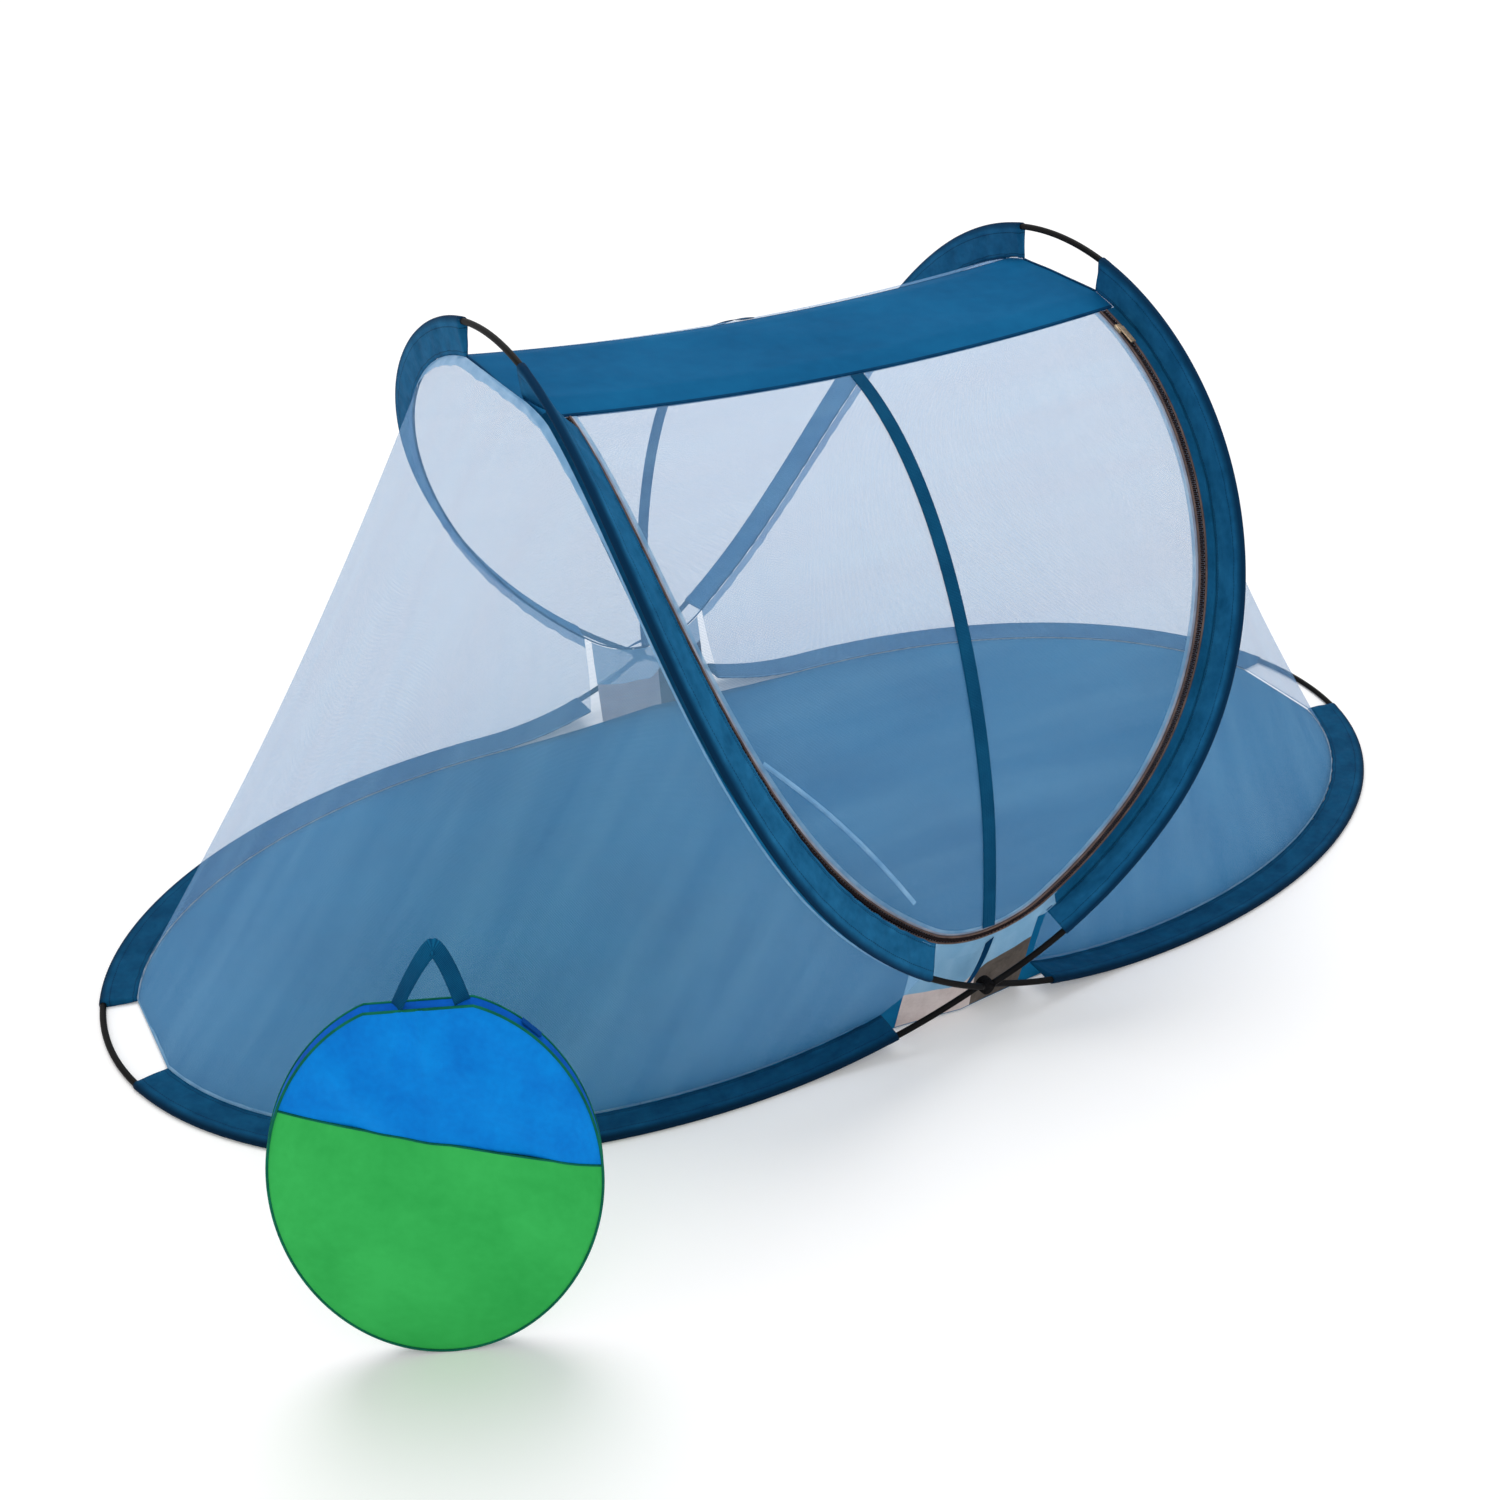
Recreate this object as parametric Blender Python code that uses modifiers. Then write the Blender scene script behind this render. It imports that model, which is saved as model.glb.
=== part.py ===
"""A pop-up mosquito net tent with its round carry bag, as separate sub-parts.

Two spring-steel hoops cross at the front and the back. Each hoop is half of the base
and one arch, so four leaves meet at the crossings: a base leaf and an arch leaf on
either side. In the ties a hoop changes from the inner place to the outer one, so that
on either side the arch lies outside the base and folds down beside it. A leaf's outline is drawn flat, as a reach away from the crossings and a
half width along Y, and its profile then bends it in the XZ plane. Metres, +Z up, with
the origin on the ground at the middle of the tent, and the door on the -Y side.
"""

import math

import bmesh
import bpy
from mathutils import Matrix, Vector

# Leaves: half length, half widths and the profile of the arches
BASE_REACH = 0.996
BASE_WIDEST = 0.481
BASE_WIDEST_AT = 0.291
ROOT_HALF_WIDTH = 0.503
ARCH_REACH = 0.925
ARCH_WIDEST = 0.534
ARCH_WIDEST_AT = 0.308
FLEX_AT = 0.460
RISE_RUN = 0.293
ROOT_ANGLE = math.radians(27.2)
FLEX_ANGLE = math.radians(62.9)
TIP_ANGLE = math.radians(93.9)

# Wire, ferrules and the ties at the crossings
WIRE_RADIUS = 0.0042
WIRE_SLANT_SHARE = 0.08
TIE_RADIUS = 0.0102
TIE_OVERHANG = 0.0006
TIE_BEVEL = 0.0008
FERRULE_WALL = 0.0012
FERRULE_LENGTH = 0.036
FERRULE_AT = 0.060
FERRULE_CLEARANCE = 0.0005

# Sleeve bands along the wires
BAND_WIDTH = 0.043
BAND_THICKNESS = 0.002
BAND_START = 0.120
TIP_GAP_HALF = 0.090

# Sheets: nets, roof, floor and webbing
NET_THICKNESS = 0.001
ROOF_THICKNESS = 0.001
FLOOR_THICKNESS = 0.0015
FLOOR_SPLIT = -0.030
SEAM_GAP = 0.0009
SEAM_SPREAD = 0.0008
WALL_SAG = 0.020
ROOF_SAG = 0.022
ROOF_FRONT = 0.120
ROOF_EDGE_GAP = 0.0015
WEBBING_WIDTH = 0.018
WEBBING_THICKNESS = 0.001
WALL_FOOT = 0.120
WALL_POINT = 0.0006
SLOPE_STEP = 0.004
GUSSET_LIFT = 0.0008

# Door zip and its slider
ZIP_INSET = 0.0225
ZIP_LEAN = 0.010
ZIP_WIDTH = 0.015
ZIP_THICKNESS = 0.0012
SLIDER_LENGTH = 0.014
SLIDER_WIDTH = 0.010
SLIDER_HEIGHT = 0.005
SLIDER_BEVEL = 0.0012
SLIDER_DROP = 0.008
SLIDER_LAST_ROW = 9
TAB_LENGTH = 0.030
TAB_WIDTH = 0.008
TAB_THICKNESS = 0.0016
TAB_BEVEL = 0.0005

# Carry bag
BAG_HALF_WIDTH = 0.166
BAG_HALF_HEIGHT = 0.236
BAG_THICKNESS = 0.018
BAG_FLAT_HALF = 0.052
BAG_CLOTH = 0.002
BAG_FACE_GAP = 0.0006
BAG_STATIONS = 49
BAG_ZIP_WIDTH = 0.014
BAG_SEAM_LEFT = 0.121
BAG_SEAM_RIGHT = 0.008
BAG_PLACE_X = -0.787
BAG_PLACE_Y = -0.667
BAG_TURN = math.radians(-21.8)
HANDLE_HALF_WIDTH = 0.041
HANDLE_SHIFT = 0.010
HANDLE_HEIGHT = 0.074
HANDLE_TOP_HALF = 0.010
HANDLE_STRAP = 0.018
HANDLE_THICKNESS = 0.0025
BAG_PULL_LENGTH = 0.026
BAG_PULL_WIDTH = 0.007
BAG_PULL_THICKNESS = 0.002
BAG_PULL_GAP = 0.0008
BAG_PULL_FIRST = 3
BAG_PULL_LAST = 9

# Clearances
CLEARANCE = 0.0003
HINGE_GAP = 0.0011

# Derived places
HOOP_OFFSET = WIRE_RADIUS + CLEARANCE
WIRE_LEVEL = WIRE_RADIUS + CLEARANCE
RISE_RADIUS = RISE_RUN / math.sin(ROOT_ANGLE)
CROSSING_HEIGHT = WIRE_LEVEL + RISE_RADIUS * (1 - math.cos(ROOT_ANGLE))
LOWER_RADIUS = FLEX_AT / (FLEX_ANGLE - ROOT_ANGLE)
UPPER_RADIUS = (ARCH_REACH - FLEX_AT) / (TIP_ANGLE - FLEX_ANGLE)
WIRE_START = TIE_RADIUS + CLEARANCE + WIRE_RADIUS * WIRE_SLANT_SHARE
BAND_EDGE = WIRE_RADIUS + CLEARANCE

# Counts along the leaves and sheets
BARE_STATIONS = 5
BAND_STATIONS = 16
NET_STATIONS = 26
NET_ROWS = 3
WALL_ROWS = 26
WALL_COLUMNS = 5
FILLET_STATIONS = 6
BISECTIONS = 40
FRONT = -1
BACK = 1
LEFT = -1
RIGHT = 1


def clear_scene():
    for old in list(bpy.data.objects):
        bpy.data.objects.remove(old, do_unlink=True)


def make_collection(name):
    group = bpy.data.collections.new(name)
    bpy.context.scene.collection.children.link(group)
    return group


def make_material(name, colour, roughness, metallic=0.0):
    material = bpy.data.materials.new(name)
    material.use_nodes = True
    shader = material.node_tree.nodes["Principled BSDF"]
    shader.inputs["Base Color"].default_value = (*colour, 1.0)
    shader.inputs["Roughness"].default_value = roughness
    shader.inputs["Metallic"].default_value = metallic
    return material


def base_profile(reach):
    """X, Z and slope of a base leaf: it rises in an arc towards the crossing."""
    slope = math.asin(max(0.0, RISE_RUN - reach) / RISE_RADIUS)
    return reach, WIRE_LEVEL + RISE_RADIUS * (1 - math.cos(slope)), -slope


def arch_profile(reach):
    """X, Z and slope of an arch leaf: one arc up to the flex line, a wider one past it."""
    if reach <= FLEX_AT:
        slope = ROOT_ANGLE + reach / LOWER_RADIUS
        across = LOWER_RADIUS * (math.sin(slope) - math.sin(ROOT_ANGLE))
        up = LOWER_RADIUS * (math.cos(ROOT_ANGLE) - math.cos(slope))
        return across, CROSSING_HEIGHT + up, slope
    flex_x, flex_z, _ = arch_profile(FLEX_AT)
    slope = FLEX_ANGLE + (reach - FLEX_AT) / UPPER_RADIUS
    across = UPPER_RADIUS * (math.sin(slope) - math.sin(FLEX_ANGLE))
    up = UPPER_RADIUS * (math.cos(FLEX_ANGLE) - math.cos(slope))
    return flex_x + across, flex_z + up, slope


def bisect(function, target, low, high):
    """The place between low and high where a rising function reaches the target."""
    for _ in range(BISECTIONS):
        middle = (low + high) / 2
        if function(middle) < target:
            low = middle
        else:
            high = middle
    return (low + high) / 2


class Leaf:
    """One leaf: share -1 is the crossing, 0 the widest place and 1 the tip."""

    def __init__(self, side, reach, root, widest, widest_at, profile):
        self.side = side
        self.reach = reach
        self.root = root
        self.widest = widest
        self.widest_at = widest_at
        self.profile = profile

    def flat(self, share, inset=0.0):
        """Reach and half width at a share of the outline, inset towards the middle."""
        if share < 0:
            reach = self.widest_at * (1 + share)
            half = self.widest - (self.widest - self.root) * share * share
            along = Vector((self.widest_at, -2 * (self.widest - self.root) * share))
        else:
            turn = share * math.pi / 2
            span = self.reach - self.widest_at
            reach = self.widest_at + span * math.sin(turn)
            half = self.widest * math.cos(turn)
            along = Vector((span * math.cos(turn), -self.widest * math.sin(turn)))
        along.normalize()
        return reach + inset * along.y, half - inset * along.x

    def bend(self, reach, y, lift=0.0):
        """A flat place bent to the profile, lifted along the leaf's inner normal."""
        x, z, slope = self.profile(reach)
        x -= lift * math.sin(slope)
        z += lift * math.cos(slope)
        return Vector((self.side * x, y, z))

    def point(self, share, end, inset=0.0, lift=0.0):
        reach, half = self.flat(share, inset)
        return self.bend(reach, end * half, lift)

    def share_at(self, reach, inset=0.0):
        return bisect(lambda share: self.flat(share, inset)[0], reach, -1.0, 1.0)

    def gap_share(self):
        return math.acos(TIP_GAP_HALF / self.widest) / (math.pi / 2)

    def seam(self, start, inset, lift, count):
        """The inner seam from the front crossing to the back one, straight at the tip."""
        shares = spread(start, self.gap_share(), count)
        front = [self.point(share, FRONT, inset, lift) for share in shares]
        back = [self.point(share, BACK, inset, lift) for share in reversed(shares)]
        return front + back


def spread(first, last, count):
    return [first + (last - first) * step / (count - 1) for step in range(count)]


def chain(places, counts):
    """Runs of evenly spread shares from each place to the next, as one list."""
    shares = [places[0]]
    for first, last, count in zip(places, places[1:], counts):
        shares += spread(first, last, count)[1:]
    return shares


def base_leaf(side):
    root = ROOT_HALF_WIDTH - HOOP_OFFSET
    return Leaf(side, BASE_REACH, root, BASE_WIDEST, BASE_WIDEST_AT, base_profile)


def arch_leaf(side):
    root = ROOT_HALF_WIDTH + HOOP_OFFSET
    return Leaf(side, ARCH_REACH, root, ARCH_WIDEST, ARCH_WIDEST_AT, arch_profile)


def link(name, data, group, material):
    data.materials.append(material)
    piece = bpy.data.objects.new(name, data)
    group.objects.link(piece)
    return piece


def sheet(name, rows, thickness, group, material):
    """A thin cloth: a grid of points made solid on both sides of the surface."""
    mesh = bpy.data.meshes.new(name)
    width = len(rows[0])
    points = [tuple(point) for row in rows for point in row]
    faces = []
    for row in range(len(rows) - 1):
        for column in range(width - 1):
            corner = row * width + column
            faces.append((corner, corner + 1, corner + 1 + width, corner + width))
    mesh.from_pydata(points, [], faces)
    piece = link(name, mesh, group, material)
    solid = piece.modifiers.new("thickness", "SOLIDIFY")
    solid.thickness = thickness
    solid.offset = 0.0
    return piece


def hang(group, name, place, carried):
    """An empty on a joint's axis, which carries the pieces and empties that turn on it."""
    pivot = bpy.data.objects.new(name, None)
    group.objects.link(pivot)
    pivot.location = place
    for label in carried:
        piece = bpy.data.objects[label]
        piece.parent = pivot
        piece.matrix_parent_inverse = Matrix.Translation(place).inverted()


def wire(name, points, group, material):
    """A round wire through the points, with capped ends."""
    curve = bpy.data.curves.new(name, "CURVE")
    curve.dimensions = "3D"
    curve.bevel_depth = WIRE_RADIUS
    curve.bevel_resolution = 2
    curve.render_resolution_u = 0
    curve.use_fill_caps = True
    spline = curve.splines.new("POLY")
    spline.points.add(len(points) - 1)
    for knot, point in zip(spline.points, points):
        knot.co = (*point, 1.0)
    return link(name, curve, group, material)


def plate(name, outline, thickness, group, material, holes=()):
    """A flat outline in XY, filled on both faces and as thick as asked."""
    curve = bpy.data.curves.new(name, "CURVE")
    curve.dimensions = "2D"
    curve.fill_mode = "BOTH"
    curve.extrude = thickness / 2
    curve.render_resolution_u = 0
    for loop in (outline, *holes):
        spline = curve.splines.new("POLY")
        spline.points.add(len(loop) - 1)
        for knot, (x, y) in zip(spline.points, loop):
            knot.co = (x, y, 0.0, 1.0)
        spline.use_cyclic_u = True
    return link(name, curve, group, material)


def block(name, size, bevel, group, material):
    """A box with rounded edges, centred on its own origin."""
    mesh = bpy.data.meshes.new(name)
    shape = bmesh.new()
    bmesh.ops.create_cube(shape, size=1.0)
    bmesh.ops.scale(shape, vec=size, verts=shape.verts)
    shape.to_mesh(mesh)
    shape.free()
    piece = link(name, mesh, group, material)
    rounding = piece.modifiers.new("rounding", "BEVEL")
    rounding.width = bevel
    rounding.segments = 2
    return piece


def turned(name, profile, steps, group, material):
    """A shape turned about its own Z axis from a closed or axis-to-axis profile."""
    mesh = bpy.data.meshes.new(name)
    closed = profile[0][0] > 0
    edges = [(step, step + 1) for step in range(len(profile) - 1)]
    if closed:
        edges.append((len(profile) - 1, 0))
    mesh.from_pydata([(radius, 0.0, z) for radius, z in profile], edges, [])
    piece = link(name, mesh, group, material)
    screw = piece.modifiers.new("turning", "SCREW")
    screw.steps = steps
    screw.render_steps = steps
    screw.use_merge_vertices = True
    screw.merge_threshold = 0.0001
    return piece


def sleeve(name, leaf, end, outer, inner, count, group, material):
    """A fabric band inside the wire, between two shares on its outer and inner edges."""
    rows = []
    outer_shares = spread(*outer, count)
    inner_shares = spread(*inner, count)
    for out_share, in_share in zip(outer_shares, inner_shares):
        outside = leaf.point(out_share, end, BAND_EDGE)
        inside = leaf.point(in_share, end, BAND_WIDTH)
        rows.append([outside, (outside + inside) / 2, inside])
    return sheet(name, rows, BAND_THICKNESS, group, material)


def build_base(side, name, group, fabric, steel, crimp, ground):
    """One base leaf: its half hoop, two sleeves, a ferrule and its half of the floor."""
    leaf = base_leaf(side)
    cut = (leaf.share_at(BAND_START), leaf.gap_share())
    places = (leaf.share_at(WIRE_START), *cut, 1.0)
    shares = chain(places, (BARE_STATIONS, NET_STATIONS, BARE_STATIONS))
    front = [leaf.point(share, FRONT) for share in shares]
    back = [leaf.point(share, BACK) for share in reversed(shares[:-1])]
    wire(f"wire_base_{name}", front + back, group, steel)
    for end, place in ((FRONT, "front"), (BACK, "back")):
        label = f"sleeve_base_{name}_{place}"
        sleeve(label, leaf, end, cut, cut, NET_STATIONS, group, fabric)
    build_ferrule(f"ferrule_{name}", leaf, group, crimp)
    build_floor(side, f"floor_{name}", leaf, group, ground)


def build_ferrule(name, leaf, group, material):
    """The crimped tube that joins a hoop's ends, on the bare wire by the back crossing."""
    bore = WIRE_RADIUS + FERRULE_CLEARANCE
    outside = bore + FERRULE_WALL
    half = FERRULE_LENGTH / 2
    profile = [(outside, half), (outside, -half), (bore, -half), (bore, half)]
    piece = turned(name, profile, 12, group, material)
    share = leaf.share_at(FERRULE_AT)
    here = leaf.point(share, BACK)
    before = leaf.point(leaf.share_at(FERRULE_AT - half), BACK)
    after = leaf.point(leaf.share_at(FERRULE_AT + half), BACK)
    piece.location = (here + (before + after) / 2) / 2
    piece.rotation_euler = (after - before).to_track_quat("Z", "Y").to_euler()


def build_floor(side, name, leaf, group, material):
    """A floor half: flat on the ground, inside the base seams, up to the joint line."""
    middle = FLOOR_SPLIT + side * CLEARANCE
    start = leaf.share_at(max(0.0, side * middle), seam_inset())
    edge = leaf.seam(start, seam_inset(), 0.0, NET_STATIONS)
    outline = [(point.x, point.y) for point in edge]
    outline[0] = (middle, outline[0][1])
    outline[-1] = (middle, outline[-1][1])
    piece = plate(name, outline, FLOOR_THICKNESS, group, material)
    piece.location.z = FLOOR_THICKNESS / 2


def build_arch(side, name, group, fabric, steel):
    """One arch leaf, in a lower and an upper length on either side of the flex line."""
    leaf = arch_leaf(side)
    low = leaf.share_at(FLEX_AT - HINGE_GAP)
    high = leaf.share_at(FLEX_AT + HINGE_GAP)
    low_in = leaf.share_at(FLEX_AT - HINGE_GAP, BAND_WIDTH)
    high_in = leaf.share_at(FLEX_AT + HINGE_GAP, BAND_WIDTH)
    root = leaf.share_at(WIRE_START)
    start = leaf.share_at(BAND_START)
    gap = leaf.gap_share()
    for end, place in ((FRONT, "front"), (BACK, "back")):
        shares = chain((root, start, low), (BARE_STATIONS, BAND_STATIONS))
        points = [leaf.point(share, end) for share in shares]
        wire(f"wire_{name}_lower_{place}", points, group, steel)
        label = f"sleeve_{name}_lower_{place}"
        sleeve(label, leaf, end, (start, low), (start, low_in), BAND_STATIONS, group, fabric)
        label = f"sleeve_{name}_upper_{place}"
        sleeve(label, leaf, end, (high, gap), (high_in, gap), BAND_STATIONS, group, fabric)
    shares = chain((high, gap, 1.0), (BAND_STATIONS, BARE_STATIONS))
    front = [leaf.point(share, FRONT) for share in shares]
    back = [leaf.point(share, BACK) for share in reversed(shares[:-1])]
    wire(f"wire_{name}_upper", front + back, group, steel)


def build_tie(end, name, group, material):
    """The bound crossing of the two hoops, on the fold line."""
    half = HOOP_OFFSET + WIRE_RADIUS + TIE_OVERHANG
    round_half = half - TIE_BEVEL
    profile = [
        (0.0, half),
        (TIE_RADIUS - TIE_BEVEL, half),
        (TIE_RADIUS, round_half),
        (TIE_RADIUS, -round_half),
        (TIE_RADIUS - TIE_BEVEL, -half),
        (0.0, -half),
    ]
    piece = turned(name, profile, 16, group, material)
    piece.location = (0.0, end * ROOT_HALF_WIDTH, CROSSING_HEIGHT)
    piece.rotation_euler.x = math.pi / 2


def build_end_net(side, name, group, material):
    """The net between a base leaf's seam and the arch leaf's seam on the same side."""
    base = base_leaf(side)
    arch = arch_leaf(side)
    inset = seam_inset()
    foot = base.seam(base.share_at(BAND_START), inset, SEAM_SPREAD, NET_STATIONS)
    head = arch.seam(arch.share_at(BAND_START), inset, -SEAM_SPREAD, NET_STATIONS)
    rows = []
    for low, high in zip(foot, head):
        rows.append([low.lerp(high, step / NET_ROWS) for step in range(NET_ROWS + 1)])
    sheet(name, rows, NET_THICKNESS, group, material)


def seam_inset():
    return BAND_WIDTH + SEAM_GAP


def seam_height(share):
    """Height of the arches' inner seam, on the side of the roof and the walls."""
    return arch_leaf(RIGHT).point(share, BACK, seam_inset(), SEAM_SPREAD).z


def seam_place(side, z):
    """The back inner seam of one arch at a height."""
    share = bisect(seam_height, z, -1.0, arch_leaf(RIGHT).gap_share())
    return arch_leaf(side).point(share, BACK, seam_inset(), SEAM_SPREAD)


def wall_share(z):
    """Height on the walls, from 0 at the crossings to 1 at the roof."""
    top = seam_height(roof_share())
    return min(1.0, max(0.0, (z - CROSSING_HEIGHT) / (top - CROSSING_HEIGHT)))


def crown(x, z):
    """How far a place is from the wall's borders: 1 at its middle, 0 at its edge."""
    edge = max(seam_place(RIGHT, max(z, CROSSING_HEIGHT)).x, BAND_START)
    return max(0.0, 1 - (x / edge) ** 2)


def wall_y(x, z):
    """Half depth of the front and back walls, which sag between the arches' seams."""
    height = max(z, CROSSING_HEIGHT)
    left = seam_place(LEFT, height)
    right = seam_place(RIGHT, height)
    share = min(1.0, max(0.0, (1 + x / max(right.x, BAND_START)) / 2))
    inward = WALL_SAG * crown(x, z) * math.sin(math.pi * wall_share(z))
    return left.y + (right.y - left.y) * share - inward


def wall_point(x, z, end, outward=0.0):
    """A place on the front or back wall, or at a distance outside it."""
    y = wall_y(x, z)
    drop = ROOF_SAG * crown(x, z) * wall_share(z) ** 3
    place = Vector((x, end * y, z - drop))
    if outward == 0:
        return place
    slope_x = (wall_y(x + SLOPE_STEP, z) - wall_y(x - SLOPE_STEP, z)) / (2 * SLOPE_STEP)
    slope_z = (wall_y(x, z) - wall_y(x, z - SLOPE_STEP)) / SLOPE_STEP
    normal = Vector((-slope_x, end, -slope_z)).normalized()
    return place + normal * outward


def seam_line(inset, count):
    """Right half of a wall's border, from the top down to the middle of its round foot.

    Returned as X and Z, at a distance inside the arch's seam.
    """
    arch = arch_leaf(RIGHT)
    foot = arch.share_at(WALL_FOOT, seam_inset())
    line = []
    for share in spread(roof_share(), foot, count):
        reach, _ = arch.flat(share, seam_inset())
        x, z, slope = arch_profile(reach)
        away = inset + SEAM_SPREAD
        line.append((x - away * math.sin(slope), z + away * math.cos(slope)))
    reach, _ = arch.flat(foot, seam_inset())
    x, z, slope = arch_profile(reach)
    x -= SEAM_SPREAD * math.sin(slope)
    z += SEAM_SPREAD * math.cos(slope)
    radius = x / math.sin(slope)
    centre = z + radius * math.cos(slope)
    for turn in spread(slope, 0.0, FILLET_STATIONS)[1:]:
        away = radius - inset
        line.append((away * math.sin(turn), centre - away * math.cos(turn)))
    return line


def roof_share():
    """Share of the arch where the roof's front and back edges meet its seam."""
    arch = arch_leaf(RIGHT)

    def narrowing(share):
        return -arch.flat(share, seam_inset())[1]

    return bisect(narrowing, -ROOF_FRONT, 0.0, arch.gap_share())


def border(inset, lean):
    """A wall's whole border from top right to top left, moved along X by the lean."""
    right = seam_line(inset, WALL_ROWS)
    left = [(-x, z) for x, z in reversed(right[:-1])]
    return [(x + lean, z) for x, z in right + left]


def border_strip(name, inner, outer, thickness, group, material):
    """A U-shaped strip of the front wall, between two borders."""
    rows = []
    for near, far in zip(inner, outer):
        rows.append([wall_point(*near, FRONT), wall_point(*far, FRONT)])
    return sheet(name, rows, thickness, group, material)


def build_front_wall(group, net, cloth, tape, zip_material):
    """The door's border strip, its zip, the door itself and the webbing down its middle."""
    zip_end = ZIP_INSET + ZIP_WIDTH
    seam = border(0.0, 0.0)
    outside = border(ZIP_INSET - CLEARANCE, ZIP_LEAN)
    zip_lines = (border(ZIP_INSET, ZIP_LEAN), border(zip_end, ZIP_LEAN))
    border_strip("door_surround", seam, outside, NET_THICKNESS, group, net)
    border_strip("door_zip", *zip_lines, ZIP_THICKNESS, group, zip_material)
    build_door(zip_end + CLEARANCE, group, net)
    build_webbing("door_webbing", FRONT, zip_end + CLEARANCE, ZIP_LEAN, group, tape)
    build_gusset("gusset_front", FRONT, group, net)


def wall_columns(x):
    """Places across half a wall: beside the webbing, halfway and at the border."""
    x = max(x, WALL_POINT)
    return [min(WEBBING_WIDTH / 2, x / 3), x / 2, x]


def build_door(inset, group, material):
    """The door inside its zip, from the roof's front edge down to the zip's turn."""
    rows = []
    for x, z in seam_line(inset, WALL_ROWS):
        right = wall_columns(x)
        left = [-place for place in reversed(right)]
        rows.append([wall_point(place + ZIP_LEAN, z, FRONT) for place in left + right])
    return sheet("front_door", rows, NET_THICKNESS, group, material)


def build_back_wall(group, net, tape):
    """The back net, in two halves that meet at the middle, and its webbing."""
    line = seam_line(0.0, WALL_ROWS)
    for side, name in ((LEFT, "left"), (RIGHT, "right")):
        rows = []
        for x, z in line:
            places = [CLEARANCE] + wall_columns(x)
            rows.append([wall_point(side * place, z, BACK) for place in places])
        sheet(f"back_net_{name}", rows, NET_THICKNESS, group, net)
    build_webbing("back_webbing", BACK, 0.0, 0.0, group, tape)
    build_gusset("gusset_back", BACK, group, net)


def build_webbing(name, end, inset, middle, group, material):
    """A narrow band of webbing down the outside of a wall, at its middle along X."""
    outward = (NET_THICKNESS + WEBBING_THICKNESS) / 2 + CLEARANCE
    half = WEBBING_WIDTH / 2
    rows = []
    for _, z in seam_line(inset, WALL_ROWS):
        rows.append([wall_point(middle + place, z, end, outward) for place in (-half, half)])
    sheet(name, rows, WEBBING_THICKNESS, group, material)


def build_gusset(name, end, group, material):
    """The small net between a wall's round foot and the floor's edge."""
    right = seam_line(-SEAM_GAP, WALL_ROWS)[WALL_ROWS:]
    left = [(-x, z) for x, z in reversed(right[:-1])]
    base = base_leaf(LEFT)
    rows = []
    for x, z in right + left:
        head = wall_point(x, z, end)
        edge = base.point(base.share_at(abs(x), seam_inset()), BACK, seam_inset()).y
        low = Vector((x, end * edge, FLOOR_THICKNESS + GUSSET_LIFT))
        rows.append([head, head.lerp(low, 1 / 2), low])
    sheet(name, rows, NET_THICKNESS, group, material)


def build_roof(group, material):
    """The roof cloth, in two halves that meet at the middle and sag between the arches."""
    arch = arch_leaf(RIGHT)
    front = arch.point(roof_share(), FRONT, seam_inset(), SEAM_SPREAD)
    front.y += ROOF_EDGE_GAP
    corner = arch.point(arch.gap_share(), FRONT, seam_inset(), SEAM_SPREAD)
    far_corner, back = (Vector((place.x, -place.y, place.z)) for place in (corner, front))
    edge = [front, corner, corner.lerp(far_corner, 1 / 2), far_corner, back]
    for side, name in ((LEFT, "left"), (RIGHT, "right")):
        rows = []
        for place in edge:
            row = []
            for x in spread(CLEARANCE, place.x, WALL_COLUMNS):
                sag = ROOF_SAG * (1 - (x / place.x) ** 2)
                row.append(Vector((side * x, place.y, place.z - sag)))
            rows.append(row)
        sheet(f"roof_{name}", rows, ROOF_THICKNESS, group, material)


def zip_run():
    """Three places on the right side of the zip: the slider's, a middle one and its last."""
    line = border(ZIP_INSET + ZIP_WIDTH / 2, ZIP_LEAN)
    top = Vector(line[0])
    along = (Vector(line[1]) - top).normalized()
    here = top + along * (SLIDER_DROP + SLIDER_LENGTH / 2)
    places = (here, line[(1 + SLIDER_LAST_ROW) // 2], line[SLIDER_LAST_ROW])
    return [wall_point(x, z, FRONT) for x, z in places]


def arc_centre(first, middle, last):
    """Centre and unit axis of the circle through three places."""
    ahead = middle - first
    span = last - first
    axis = ahead.cross(span)
    across = axis.cross(ahead) * span.length_squared + span.cross(axis) * ahead.length_squared
    return first + across / (2 * axis.length_squared), axis.normalized()


def build_slider(group, metal, tab_material):
    """The zip slider at the top of the right arch's side, and its hanging pull tab."""
    here, middle, last = zip_run()
    centre, axis = arc_centre(here, middle, last)
    travel = axis.cross(here - centre).normalized()
    normal = travel.cross(Vector((1.0, 0.0, 0.0))).normalized()
    across = travel.cross(normal)
    frame = Matrix((across, travel, normal)).transposed().to_4x4()
    size = (SLIDER_WIDTH, SLIDER_LENGTH, SLIDER_HEIGHT)
    slider = block("zip_slider", size, SLIDER_BEVEL, group, metal)
    outward = ZIP_THICKNESS / 2 + SLIDER_HEIGHT / 2 + CLEARANCE
    slider.matrix_world = Matrix.Translation(here + normal * outward) @ frame
    tab_size = (TAB_WIDTH, TAB_LENGTH, TAB_THICKNESS)
    tab = block("zip_pull_tab", tab_size, TAB_BEVEL, group, tab_material)
    over = outward + (SLIDER_HEIGHT + TAB_THICKNESS) / 2 + CLEARANCE
    root = here + normal * over
    tab.matrix_world = Matrix.Translation(root + travel * TAB_LENGTH / 2) @ frame
    hang(group, "tab_pin", root, ("zip_pull_tab",))
    hang(group, "zip_arc_centre", centre, ("zip_slider", "tab_pin"))


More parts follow.
